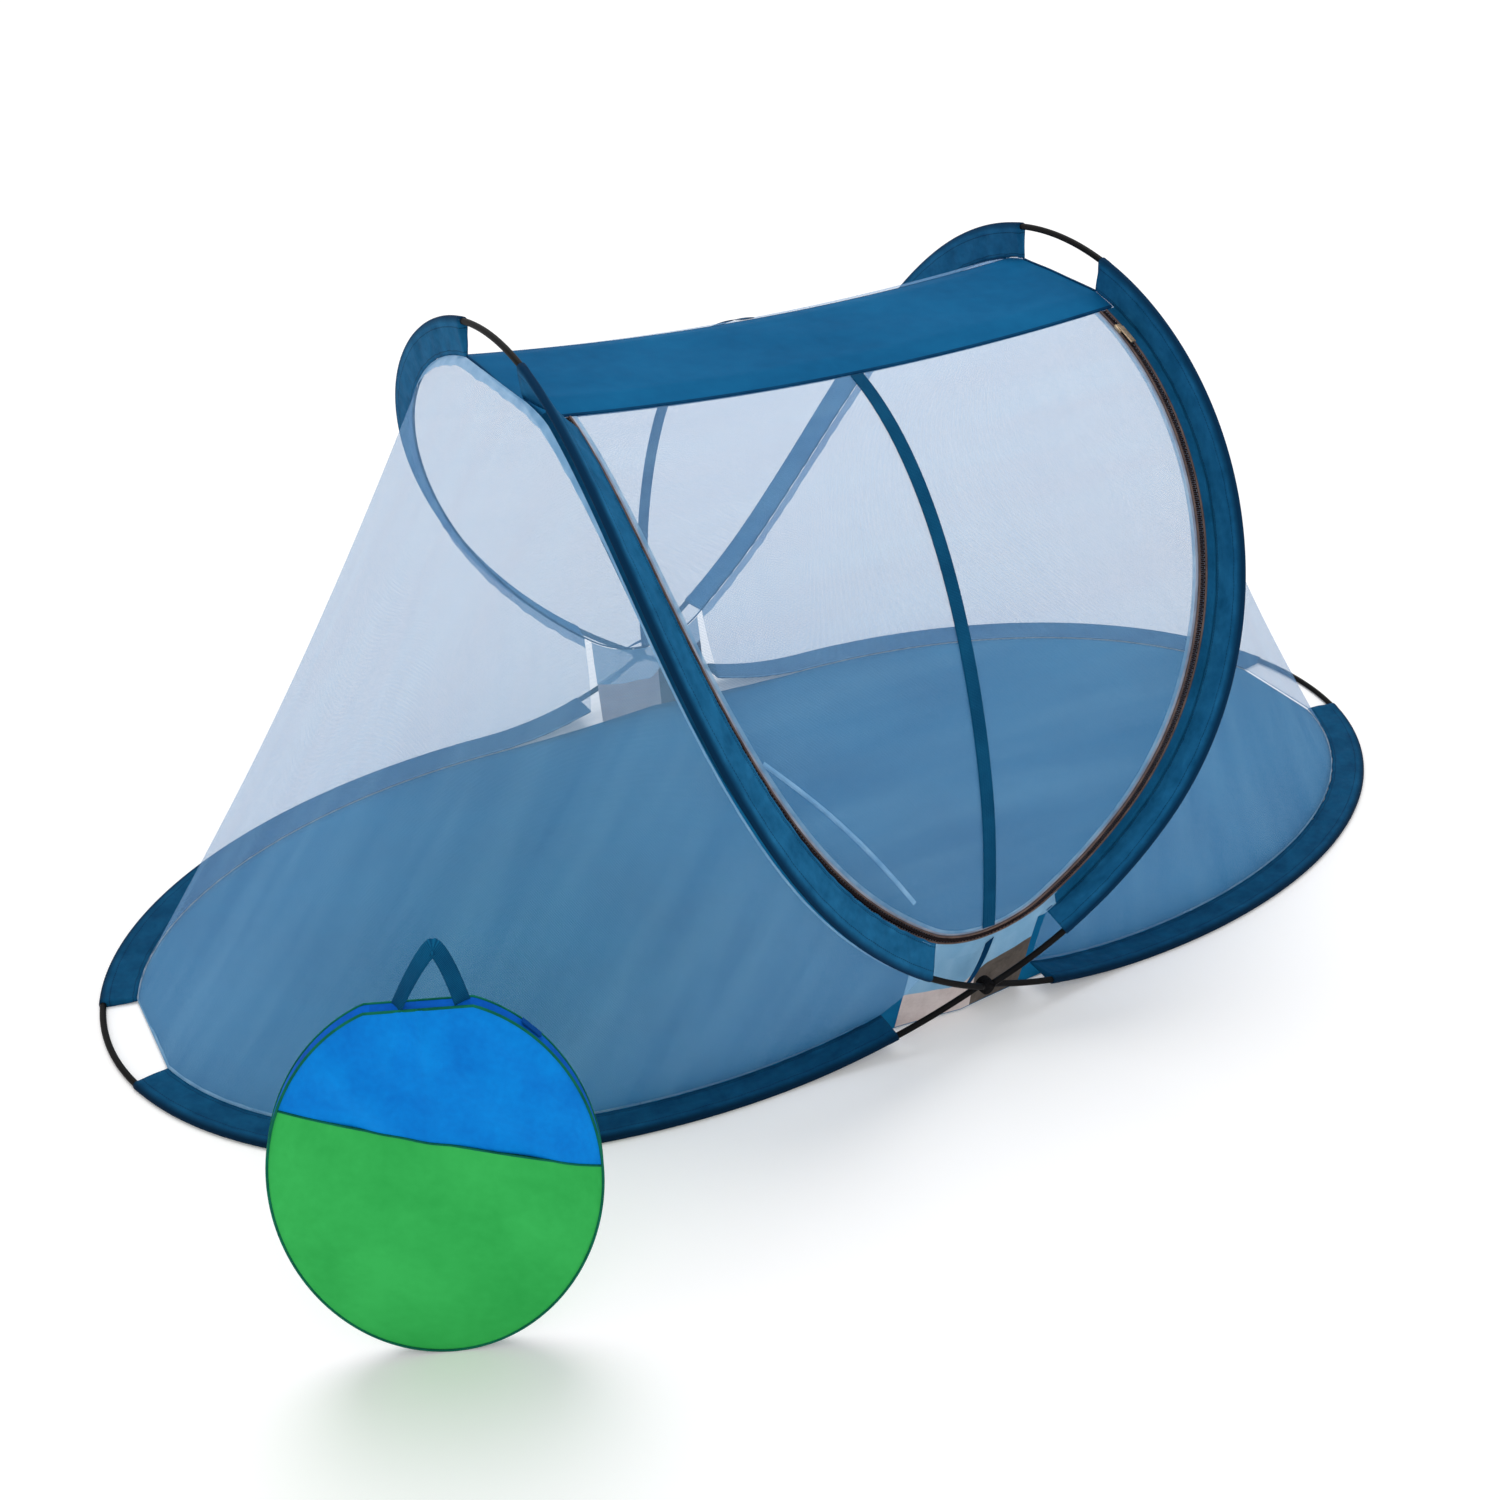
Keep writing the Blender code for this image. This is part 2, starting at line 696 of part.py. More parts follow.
def bag_outline(grow, count):
    """The bag's rim seen from the front: an oval with a short flat at the top."""
    half_width = BAG_HALF_WIDTH + grow
    half_height = BAG_HALF_HEIGHT + grow
    flat = math.asin(BAG_FLAT_HALF / BAG_HALF_WIDTH)
    points = []
    for turn in spread(flat, 2 * math.pi - flat, count):
        points.append((half_width * math.sin(turn), half_height * math.cos(turn)))
    return points


def build_bag(group, blue, green, rim, zip_material, strap, metal):
    """The round carry bag, upright beside the tent: faces, rim, zip and handle."""
    stand = bpy.data.objects.new("bag_stand", None)
    group.objects.link(stand)
    centre_z = BAG_HALF_HEIGHT + CLEARANCE
    stand.location = (BAG_PLACE_X, BAG_PLACE_Y, centre_z)
    stand.rotation_euler = (math.pi / 2, 0.0, BAG_TURN)
    face = bag_outline(-BAG_CLOTH - BAG_FACE_GAP, BAG_STATIONS)
    front = BAG_THICKNESS / 2 - BAG_CLOTH / 2
    upper, lower = split_outline(face)
    pieces = [
        (plate("bag_front_upper", upper, BAG_CLOTH, group, blue), front),
        (plate("bag_front_lower", lower, BAG_CLOTH, group, green), front),
        (plate("bag_back", face, BAG_CLOTH, group, green), -front),
    ]
    for piece, depth in pieces:
        piece.parent = stand
        piece.location.z = depth
    build_bag_rim(stand, group, rim, zip_material, metal)
    build_bag_handle(stand, group, strap)


def seam_y(x):
    """Height of the slanted seam between the bag's two front colours."""
    share = (x + BAG_HALF_WIDTH) / (2 * BAG_HALF_WIDTH)
    return BAG_SEAM_LEFT + (BAG_SEAM_RIGHT - BAG_SEAM_LEFT) * share


def seam_end(side):
    """Where the slanted seam meets the edge of the bag's face."""
    inset = BAG_CLOTH + 2 * BAG_FACE_GAP
    y = seam_y(side * BAG_HALF_WIDTH)
    reach = math.sqrt(1 - (y / (BAG_HALF_HEIGHT - inset)) ** 2)
    return side * (BAG_HALF_WIDTH - inset) * reach, y


def split_outline(face):
    """The face outline cut along the slanted seam, as an upper and a lower loop."""
    upper = [(x, y) for x, y in face if y > seam_y(x) + CLEARANCE]
    lower = [(x, y) for x, y in face if y < seam_y(x) - CLEARANCE]
    ends = (seam_end(RIGHT), seam_end(LEFT))
    after = [place for place in upper if place[0] > 0]
    before = [place for place in upper if place[0] < 0]
    upper = after + [(x, y + CLEARANCE / 2) for x, y in ends] + before
    lower = lower + [(x, y - CLEARANCE / 2) for x, y in reversed(ends)]
    return upper, lower


def build_bag_rim(stand, group, rim, zip_material, metal):
    """The gusset round the bag's edge, with its zip over the upper part and the zip's pull."""
    outline = bag_outline(-BAG_CLOTH / 2, BAG_STATIONS)
    count = len(outline)
    zip_count = count // 5
    depth = BAG_THICKNESS / 2
    parts = (
        ("bag_rim", outline[zip_count:-zip_count]),
        ("bag_zip_right", outline[: zip_count + 1]),
        ("bag_zip_left", outline[-zip_count - 1:]),
    )
    for name, places in parts:
        material = rim if name == "bag_rim" else zip_material
        trimmed = trim_ends(places)
        rows = [[Vector((x, y, -depth)), Vector((x, y, depth))] for x, y in trimmed]
        piece = sheet(name, rows, BAG_CLOTH, group, material)
        piece.parent = stand
    top = outline[0]
    panel_size = (2 * (top[0] - BAG_CLOTH), BAG_CLOTH, BAG_THICKNESS)
    flat = block("bag_top_panel", panel_size, BAG_CLOTH / 4, group, rim)
    flat.parent = stand
    flat.location.y = top[1]
    size = (BAG_PULL_LENGTH, BAG_PULL_THICKNESS, BAG_PULL_WIDTH)
    pull = block("bag_zip_pull", size, BAG_PULL_THICKNESS / 4, group, metal)
    places = bag_outline(BAG_PULL_GAP + BAG_PULL_THICKNESS / 2, BAG_STATIONS)
    stops = (BAG_PULL_FIRST, (BAG_PULL_FIRST + BAG_PULL_LAST) // 2, BAG_PULL_LAST)
    first, middle, last = (Vector((*places[stop], 0.0)) for stop in stops)
    centre, _ = arc_centre(first, middle, last)
    pivot = bpy.data.objects.new("bag_zip_arc_centre", None)
    group.objects.link(pivot)
    pivot.parent = stand
    pivot.location = centre
    pull.parent = pivot
    pull.location = first - centre
    pull.rotation_euler.z = math.atan2(first.y - centre.y, first.x - centre.x) - math.pi / 2


def trim_ends(places):
    """The same run of places with both ends drawn in by the clearance."""
    first = Vector(places[0])
    second = Vector(places[1])
    last = Vector(places[-1])
    before = Vector(places[-2])
    start = first + (second - first).normalized() * CLEARANCE
    stop = last + (before - last).normalized() * CLEARANCE
    return [tuple(start)] + list(places[1:-1]) + [tuple(stop)]


def build_bag_handle(stand, group, material):
    """The webbing loop on top of the bag."""
    foot = bag_outline(0.0, BAG_STATIONS)[0][1] + CLEARANCE
    outer = [
        (-HANDLE_HALF_WIDTH, foot),
        (-HANDLE_TOP_HALF, foot + HANDLE_HEIGHT),
        (HANDLE_TOP_HALF, foot + HANDLE_HEIGHT),
        (HANDLE_HALF_WIDTH, foot),
        (HANDLE_HALF_WIDTH - HANDLE_STRAP, foot),
        (HANDLE_TOP_HALF / 2, foot + HANDLE_HEIGHT - HANDLE_STRAP),
        (-HANDLE_TOP_HALF / 2, foot + HANDLE_HEIGHT - HANDLE_STRAP),
        (-HANDLE_HALF_WIDTH + HANDLE_STRAP, foot),
    ]
    piece = plate("bag_handle", outer, HANDLE_THICKNESS, group, material)
    piece.location.x = HANDLE_SHIFT
    piece.parent = stand


def build_joint_lines(group):
    """Empties on the fold's joint lines, each carrying what turns about it."""
    flex_x, flex_z, _ = arch_profile(FLEX_AT)
    for side, name, extra in ((LEFT, "left", ()), (RIGHT, "right", ("zip_arc_centre", "door_line"))):
        arch = f"arch_{name}"
        upper = [f"wire_{arch}_upper", f"roof_{name}", f"back_net_{name}", *extra]
        lower = [f"{name}_flex_line"]
        for place in ("front", "back"):
            upper.append(f"sleeve_{arch}_upper_{place}")
            lower.append(f"sleeve_{arch}_lower_{place}")
            lower.append(f"wire_{arch}_lower_{place}")
        if side == RIGHT:
            upper += ["back_webbing", "door_surround", "door_zip"]
            top = seam_height(roof_share())
            hang(group, "door_line", (0.0, -ROOF_FRONT, top), ("front_door", "door_webbing"))
        hang(group, f"{name}_flex_line", (side * flex_x, 0.0, flex_z), upper)
        hang(group, f"{name}_arch_line", (0.0, 0.0, CROSSING_HEIGHT), lower)
    base = ["wire_base_left", "ferrule_left", "floor_left", "end_net_left", "left_arch_line"]
    base += ["sleeve_base_left_front", "sleeve_base_left_back"]
    hang(group, "fold_line", (0.0, 0.0, CROSSING_HEIGHT), base)


def main():
    clear_scene()
    group = make_collection("mosquito_net_tent")
    fabric = make_material("sleeve fabric", (0.02, 0.12, 0.25), 0.7)
    steel = make_material("coated wire", (0.02, 0.02, 0.02), 0.45)
    crimp = make_material("crimped steel", (0.6, 0.6, 0.6), 0.3, 1.0)
    ground = make_material("floor cloth", (0.03, 0.15, 0.32), 0.75)
    net = make_material("net", (0.62, 0.74, 0.88), 0.8)
    tape = make_material("webbing", (0.02, 0.12, 0.22), 0.8)
    roof = make_material("roof cloth", (0.02, 0.13, 0.28), 0.7)
    zip_dark = make_material("zip", (0.05, 0.025, 0.025), 0.5)
    metal = make_material("zip slider", (0.55, 0.48, 0.38), 0.35, 1.0)
    bag_blue = make_material("bag blue", (0.0, 0.18, 0.68), 0.6)
    bag_green = make_material("bag green", (0.04, 0.42, 0.08), 0.6)
    for side, name in ((LEFT, "left"), (RIGHT, "right")):
        build_base(side, name, group, fabric, steel, crimp, ground)
        build_arch(side, f"arch_{name}", group, fabric, steel)
        build_end_net(side, f"end_net_{name}", group, net)
    build_tie(FRONT, "crossing_tie_front", group, steel)
    build_tie(BACK, "crossing_tie_back", group, steel)
    build_roof(group, roof)
    build_front_wall(group, net, roof, tape, zip_dark)
    build_back_wall(group, net, tape)
    build_slider(group, metal, metal)
    build_joint_lines(group)
    build_bag(group, bag_blue, bag_green, bag_blue, zip_dark, tape, metal)


main()
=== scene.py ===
"""Looks of the pop-up mosquito net tent and its carry bag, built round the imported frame.

The hoops, sleeves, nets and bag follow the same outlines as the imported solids: a leaf is
drawn flat, as a reach from the crossings and a half width along Y, and then bent in the
XZ plane. Metres, +Z up, the door on the -Y side.
"""

import math

import bpy
import numpy as np
from mathutils import Matrix, Vector

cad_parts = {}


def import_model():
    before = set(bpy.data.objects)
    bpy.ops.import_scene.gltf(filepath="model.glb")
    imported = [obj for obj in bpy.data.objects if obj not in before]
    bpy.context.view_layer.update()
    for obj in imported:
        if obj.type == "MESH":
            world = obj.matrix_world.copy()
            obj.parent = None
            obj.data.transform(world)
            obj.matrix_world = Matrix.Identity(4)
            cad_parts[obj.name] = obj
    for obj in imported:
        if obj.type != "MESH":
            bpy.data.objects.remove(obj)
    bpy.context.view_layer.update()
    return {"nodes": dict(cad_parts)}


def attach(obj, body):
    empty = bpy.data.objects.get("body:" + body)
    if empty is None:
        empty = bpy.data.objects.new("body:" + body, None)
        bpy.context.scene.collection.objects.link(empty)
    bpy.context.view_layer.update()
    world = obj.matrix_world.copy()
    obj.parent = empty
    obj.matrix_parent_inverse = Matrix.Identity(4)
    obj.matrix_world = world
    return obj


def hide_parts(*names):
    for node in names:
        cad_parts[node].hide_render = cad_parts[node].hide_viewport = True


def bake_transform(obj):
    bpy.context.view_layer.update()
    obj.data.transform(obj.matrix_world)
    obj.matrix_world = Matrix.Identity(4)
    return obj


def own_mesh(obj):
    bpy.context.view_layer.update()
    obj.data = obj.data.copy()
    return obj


# Leaves of the hoops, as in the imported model
BASE_REACH = 0.996
BASE_WIDEST = 0.481
BASE_WIDEST_AT = 0.291
ROOT_HALF_WIDTH = 0.503
ARCH_REACH = 0.925
ARCH_WIDEST = 0.534
ARCH_WIDEST_AT = 0.308
FLEX_AT = 0.460
RISE_RUN = 0.293
ROOT_ANGLE = math.radians(27.2)
FLEX_ANGLE = math.radians(62.9)
TIP_ANGLE = math.radians(93.9)
WIRE_RADIUS = 0.0042
CLEARANCE = 0.0003
# the wires start just inside the ties' binding, as the solids' wires start at the ties
WIRE_START = 0.0093
BAND_WIDTH = 0.043
BAND_START = 0.120
TIP_GAP_HALF = 0.090
SEAM_GAP = 0.0009
SEAM_SPREAD = 0.0008
WALL_SAG = 0.020
ROOF_SAG = 0.022
ROOF_FRONT = 0.120
ROOF_EDGE_GAP = 0.0015
WALL_FOOT = 0.120
WALL_POINT = 0.0006
WEBBING_WIDTH = 0.018
ZIP_INSET = 0.0225
ZIP_WIDTH = 0.015
ZIP_LEAN = 0.010
FLOOR_TOP = 0.0015

# The left arch's front sleeve turns round its wire towards the door
TWIST_FOOT = math.radians(60)
TWIST_HIGH = math.radians(50)
TWIST_TIP = math.radians(8)
TWIST_FADES_AT = 0.78
HEAD_INSET = 0.010
HEAD_DROP = 0.0060

# Section and wrinkles of the sleeves
SLEEVE_SLACK = 0.0011
SLEEVE_SEAM_HALF = 0.0009
SLEEVE_HEM = 0.012
SLEEVE_HEM_LIFT = 0.0005
PUFF_HEIGHT = 0.0011
PUFF_PITCH = 0.052
PUCKER_HEIGHT = 0.0005
PUCKER_PITCH = 0.019
SCALLOP_DEPTH = 0.0009
SCALLOP_PITCH = 0.034

# End nets: folds, and the strips along their edges
END_FOLD_HEIGHT = 0.0022
END_FOLD_PITCH = 0.21
END_STRIP_LIFT = 0.0007
END_STRIP_CROWN = 0.0004
END_STRIP_PITCH = 0.045
END_HEM_WIDTH = 0.0135
END_PIPING_WIDTH = 0.0045
END_HEM_WIDENS_AT = 0.70
END_HEM_WIDENS_OVER = 0.12

# Front and back walls: layers over the net, the zip and the webbing
BORDER_LIFT = 0.0008
LAP_OUT = 0.0006
LAP_OVER = 0.002
LAP_IN = 0.0030
LAP_LIFT = 0.0019
SKIRT_SIDE = 0.004
TAPE_LIFT = 0.0012
PIPING_LIFT = 0.0026
PIPING_RADIUS = 0.0016
PIPING_OUTER = 0.0012
PIPING_INNER = 0.0045
TEETH_LIFT = 0.0022
TEETH_INSET = 0.0060
TOOTH_PITCH = 0.0026
TOOTH_SHIFT = 0.0007
TOOTH_HALF_WIDTH = 0.0029
TOOTH_HEIGHT = 0.0016
WALL_FOLD_HEIGHT = 0.0016
WALL_FOLD_PITCH = 0.16
DOOR_BAND_OUTER = 0.001
DOOR_BAND_INNER = 0.0045
DOOR_BAND_LIFT = 0.0009
WEBBING_LIFT = 0.0022
WEBBING_EDGE = 0.0004
WEBBING_THICKNESS = 0.0008
WEBBING_FOOT_LEAN = 0.014
WEBBING_MIDDLE_LEAN = 0.029
WEBBING_TOP_LEAN = 0.007
BACK_SEAM_INSET = 0.001
BACK_SEAM_LIFT = 0.0006
BACK_SEAM_RADIUS = 0.0012

# Fold of slack net on the door: its upper left end, run, drop, droop, bow and section
FOLD_X = -0.293
FOLD_Z = 0.462
FOLD_RUN = 0.194
FOLD_DROP = 0.222
FOLD_DROOP = 0.018
FOLD_BOW = 0.010
FOLD_HALF_WIDTH = 0.0022
FOLD_LIFT = 0.0006
FOLD_HEIGHT = 0.0035

# Gussets under the crossings, and their straps
GUSSET_FLOOR_GAP = 0.001
GUSSET_SPLIT_OVER = 0.03
GUSSET_FOLD_HEIGHT = 0.0025
GUSSET_FOLD_PITCH = 0.07
# where the painted deep shadow starts, right of the crossing's middle
DEEP_SHADOW_FROM = 0.018
STRAP_UP = 0.012
STRAP_OUT = 0.002
STRAP_END_X = -0.030
STRAP_BOW = 0.003
STRAP_HALF_RUN = 0.0060
STRAP_HALF_RISE = 0.003
STRAP_THICKNESS = 0.001

# Roof, with its hem's section as how far in and how far up, and floor
ROOF_PULL_HEIGHT = 0.0014
ROOF_PULL_PITCH = 0.17
ROOF_HEM = ((0.0095, 0.0008), (0.001, 0.0011), (-0.0004, -0.0006), (0.0004, -0.0034))
ROOF_TIP_LIFT = 0.0006
ROOF_TIP_RADIUS = 0.0016
FLOOR_BUMP = 0.0011
FLOOR_BUMP_PITCH = 0.24
FLOOR_THICKNESS = 0.001

# Ties: a wound tape over a core
TIE_END_GAP = 0.0008
TIE_WINDING = 0.0088
TIE_BELLY = 0.0006
TIE_TAPE_RADIUS = 0.00125
TIE_CORE = 0.0076
TIE_CORE_MIDDLE = 0.0082
TIE_CORE_END = 0.0004

# Carry bag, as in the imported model
BAG_HALF_WIDTH = 0.166
BAG_HALF_HEIGHT = 0.236
BAG_THICKNESS = 0.018
BAG_FLAT_HALF = 0.052
BAG_SEAM_LEFT = 0.121
BAG_SEAM_RIGHT = 0.008
BAG_PLACE = Vector((-0.787, -0.667))
BAG_TURN = math.radians(-21.8)
HANDLE_HALF_WIDTH = 0.041
HANDLE_SHIFT = 0.010
HANDLE_HEIGHT = 0.074
HANDLE_STRAP = 0.018

# Carry bag: wrinkles, rim and pipings
BAG_HALF = BAG_THICKNESS / 2
BAG_FACE_IN = 0.001
BAG_FACE_SUNK = 0.0025
BAG_PILLOW = 0.0075
BAG_WAVE_HEIGHT = 0.0006
BAG_WAVE_PITCH = 0.21
BAG_GATHERS_FROM = 0.02
BAG_FAN_ABOVE = 0.05
BAG_GATHER_HEIGHT = 0.0065
BAG_SLANT_HEIGHT = 0.0030
BAG_SLANT_PITCH = 0.085
BAG_SIDE_IN = 0.0012
BAG_SIDE_CROWN = 0.0010
BAG_SIDE_SUNK = 0.0015
BAG_PIPING_SUNK = 0.0018
BAG_PIPING_RADIUS = 0.0014
BAG_SEAM_END = 0.002
BAG_SEAM_LIFT = 0.0004
BAG_SEAM_RADIUS = 0.0012
HANDLE_SUNK = 0.004
HANDLE_LEAN = 0.009
HANDLE_THICKNESS = 0.0018
# the rim's strips: name, first and last turn from the top, look and node
BAG_SIDES = (
    ("bag_side_right", 0.28, 2.2, "bag_side", "bag_zip_right"),
    ("bag_side_low", 2.2, 4.1, "bag_edge", "bag_rim"),
    ("bag_side_left", 4.1, 2 * math.pi - 0.28, "bag_side", "bag_zip_left"),
    ("bag_side_top", -0.28, 0.28, "bag_side", "bag_top_panel"),
)

# Cloths: pitch of the threads, depth of the creases, and the sleeves' rim and stitches
THREAD = 0.0010
SLEEVE_THREAD = 0.0011
FLOOR_THREAD = 0.0014
BAG_THREAD = 0.0009
FINE_THREAD = 0.0008
NET_PITCH = 0.0016
RIB_PITCH = 0.0018
CREASE = 0.0012
SLEEVE_CREASE = 0.0022
BAG_CREASE = 0.004
SMOOTH_CREASE = 0.001
SLEEVE_WEAVE_DEPTH = 0.00015
NET_DEPTH = 0.0002
RIB_DEPTH = 0.0005
GRAIN_DEPTH = 0.0003
RIM_WIDTH = 0.008
STITCH_FROM_SEAM = 0.005
STITCH_FROM_WIRE = 0.0085
STITCH_HALF_WIDTH = 0.0006
STITCH_HALF_PITCH = 0.0022
STITCH_HALF_GAP = 0.0006
STITCH_DEPTH = 0.0006

# Derived places
HOOP_OFFSET = WIRE_RADIUS + CLEARANCE
WIRE_LEVEL = WIRE_RADIUS + CLEARANCE
RISE_RADIUS = RISE_RUN / math.sin(ROOT_ANGLE)
CROSSING_HEIGHT = WIRE_LEVEL + RISE_RADIUS * (1 - math.cos(ROOT_ANGLE))
LOWER_RADIUS = FLEX_AT / (FLEX_ANGLE - ROOT_ANGLE)
UPPER_RADIUS = (ARCH_REACH - FLEX_AT) / (TIP_ANGLE - FLEX_ANGLE)
SEAM_INSET = BAND_WIDTH + SEAM_GAP
FRONT = -1
BACK = 1
LEFT = -1
RIGHT = 1
SIDES = ((LEFT, "left"), (RIGHT, "right"))
ENDS = ((FRONT, "front"), (BACK, "back"))

# Fineness: places along a leaf, a wall's half border and the door's strips
LEAF_ROWS = 150
WALL_ROWS = 84
BORDER_ROWS = 110
WIRE_SIDES = 14

# Spread round an arch's flex line
FLEX_SPREAD = 0.07

# Camera of the photograph
CAMERA_PLACE = (-1.210, -2.091, 1.620)
CAMERA_YAW = math.radians(28.69)
CAMERA_PITCH = math.radians(31.2)
SENSOR_WIDTH = 36.0
CAMERA_LENS = 46.96

# Ground, sky, and each lamp's name, strength, spread and direction
GROUND_HALF = 14.0
GROUND_COLOUR = (0.97, 0.963, 0.961, 1.0)
GROUND_GLOW = 0.10
WHITE = (1.0, 1.0, 1.0, 1.0)
SKY_LEVEL = 0.62
LAMPS = (
    ("soft light", 1.20, 40, (0.12, 0.42, 1.0)),
    ("fill light", 0.50, 60, (-0.35, -0.90, 0.55)),
)

# Materials by key, filled in by main
LOOKS = {}


def srgb(colour):
    """A colour written as 0 to 255 screen values, as linear RGBA."""
    linear = []
    for value in colour:
        share = value / 255
        linear.append(share / 12.92 if share <= 0.04045 else ((share + 0.055) / 1.055) ** 2.4)
    return (*linear, 1.0)


# Materials


class Nodes:
    """A material's node tree, with short calls for the nodes that repeat."""

    def __init__(self, name):
        self.material = bpy.data.materials.new(name)
        self.material.use_nodes = True
        self.tree = self.material.node_tree
        self.shader = self.tree.nodes["Principled BSDF"]

    def add(self, kind, **settings):
        node = self.tree.nodes.new(kind)
        for key, value in settings.items():
            setattr(node, key, value)
        return node

    def join(self, source, target):
        self.tree.links.new(source, target)

    def give(self, value, slot):
        """Join a socket to the slot, or set the slot to a value."""
        if isinstance(value, bpy.types.NodeSocket):
            self.join(value, slot)
        elif value is not None:
            slot.default_value = value

    def place(self, space="UV"):
        return self.add("ShaderNodeTexCoord").outputs[space]

    def math(self, operation, first, second=None, clamp=False):
        node = self.add("ShaderNodeMath", operation=operation, use_clamp=clamp)
        self.give(first, node.inputs[0])
        self.give(second, node.inputs[1])
        return node.outputs[0]

    def blend(self, first, second, share):
        """A share of the first value and the rest of the second."""
        rest = self.math("MULTIPLY", second, 1 - share)
        return self.math("ADD", self.math("MULTIPLY", first, share), rest)

    def noise(self, place, scale, detail=3.0, stretch=(1, 1, 1)):
        mapping = self.add("ShaderNodeMapping")
        mapping.inputs["Scale"].default_value = stretch
        self.join(place, mapping.inputs["Vector"])
        node = self.add("ShaderNodeTexNoise")
        node.inputs["Scale"].default_value = scale
        node.inputs["Detail"].default_value = detail
        self.join(mapping.outputs[0], node.inputs["Vector"])
        return node.outputs["Fac"]

    def threads(self, place, pitch, axis):
        """Bands a pitch apart along an axis, from 0 to 1."""
        node = self.add("ShaderNodeTexWave", bands_direction=axis)
        node.inputs["Scale"].default_value = math.pi / (10 * pitch)
        self.join(place, node.inputs["Vector"])
        return node.outputs["Fac"]

    def weave(self, place, pitch):
        """Threads crossed both ways."""
        return self.math("MAXIMUM", *(self.threads(place, pitch, axis) for axis in ("X", "Y")))

    def ramp(self, value, low, dark, high, light):
        """The dark screen colour up to the low value, and the light one from the high value."""
        node = self.add("ShaderNodeValToRGB")
        points = node.color_ramp.elements
        points[0].position, points[0].color = low, srgb(dark)
        points[1].position, points[1].color = high, srgb(light)
        self.join(value, node.inputs[0])
        return node.outputs[0]

    def mix(self, share, first, second):
        node = self.add("ShaderNodeMix", data_type="RGBA")
        for slot, value in ((0, share), (6, first), (7, second)):
            self.give(value, node.inputs[slot])
        return node.outputs[2]

    def bump(self, height, distance, strength=1.0, normal=None):
        node = self.add("ShaderNodeBump")
        node.inputs["Distance"].default_value = distance
        node.inputs["Strength"].default_value = strength
        self.join(height, node.inputs["Height"])
        self.give(normal, node.inputs["Normal"])
        return node.outputs[0]

    def finish(self, roughness, colour=None, normal=None, alpha=None, metallic=0.0, gloss=0.04):
        inputs = self.shader.inputs
        inputs["Roughness"].default_value = roughness
        inputs["Metallic"].default_value = metallic
        inputs["Specular IOR Level"].default_value = gloss
        for key, value in (("Base Color", colour), ("Normal", normal), ("Alpha", alpha)):
            self.give(value, inputs[key])
        return self.material


def woven(name, light, dark, pitch=THREAD, roughness=0.75, gloss=0.04, crease=CREASE, spots=9.0):
    """Woven cloth: crossed threads, soft creases and a slow change of shade."""
    nodes = Nodes(name)
    place = nodes.place()
    slow = nodes.noise(place, spots, 4.0)
    fine = nodes.noise(place, spots * 9, 3.0)
    colour = nodes.ramp(nodes.blend(slow, fine, 0.75), 0.34, dark, 0.62, light)
    rough = nodes.bump(slow, crease, 0.6)
    normal = nodes.bump(nodes.weave(place, pitch), pitch * 0.15, 0.5, rough)
    return nodes.finish(roughness, colour, normal, gloss=gloss)


def sleeve_cloth(name, light, dark, rim):
    """The sleeves' cloth: darker where it wraps the wire, partly the black wire seen through it and
    partly painted shade of the tube's round edge, with two rows of stitches.
    """
    nodes = Nodes(name)
    place = nodes.place()
    split = nodes.add("ShaderNodeSeparateXYZ")
    nodes.join(place, split.inputs[0])
    along, across = split.outputs[0], split.outputs[1]
    slow = nodes.noise(place, 24.0, 4.0, (1.0, 1.6, 1.0))
    fine = nodes.noise(place, 90.0, 3.0)
    base = nodes.ramp(nodes.blend(slow, fine, 0.7), 0.30, dark, 0.70, light)
    # painted shade with the wire seen through: the rim colour darkens the cloth where it wraps round the
    # wire
    edge = nodes.math("DIVIDE", nodes.math("SUBTRACT", RIM_WIDTH / 2, across), RIM_WIDTH, clamp=True)
    colour = nodes.mix(edge, base, srgb(rim))
    rows = []
    for row in (BAND_WIDTH - STITCH_FROM_SEAM, STITCH_FROM_WIRE):
        off = nodes.math("ABSOLUTE", nodes.math("SUBTRACT", across, row))
        line = nodes.math("LESS_THAN", off, STITCH_HALF_WIDTH)
        step = nodes.math("PINGPONG", along, STITCH_HALF_PITCH)
        dash = nodes.math("GREATER_THAN", step, STITCH_HALF_GAP)
        rows.append(nodes.math("MULTIPLY", line, dash))
    stitch = nodes.math("MAXIMUM", *rows)
    colour = nodes.mix(nodes.math("MULTIPLY", stitch, 0.6), colour, srgb((6, 34, 62)))
    crease = nodes.bump(slow, SLEEVE_CREASE, 0.7)
    normal = nodes.bump(nodes.weave(place, SLEEVE_THREAD), SLEEVE_WEAVE_DEPTH, 0.5, crease)
    return nodes.finish(0.7, colour, nodes.bump(stitch, STITCH_DEPTH, 0.8, normal))


def netting(name, colour, shade, cover):
    """Mosquito net: fine crossed threads over open holes, with faint streaks."""
    nodes = Nodes(name)
    place = nodes.place()
    weave = nodes.math("POWER", nodes.weave(place, NET_PITCH), 3.0)
    streak = nodes.noise(place, 7.0, 3.0, (3.0, 0.35, 1.0))
    body = nodes.math("ADD", nodes.math("MULTIPLY", weave, 0.5 * cover), 0.55 * cover)
    sway = nodes.math("MULTIPLY", nodes.math("SUBTRACT", streak, 0.5), 0.18 * cover)
    alpha = nodes.math("ADD", body, sway, clamp=True)
    paint = nodes.ramp(streak, 0.35, shade, 0.65, colour)
    return nodes.finish(0.85, paint, nodes.bump(weave, NET_DEPTH, 0.3), alpha)


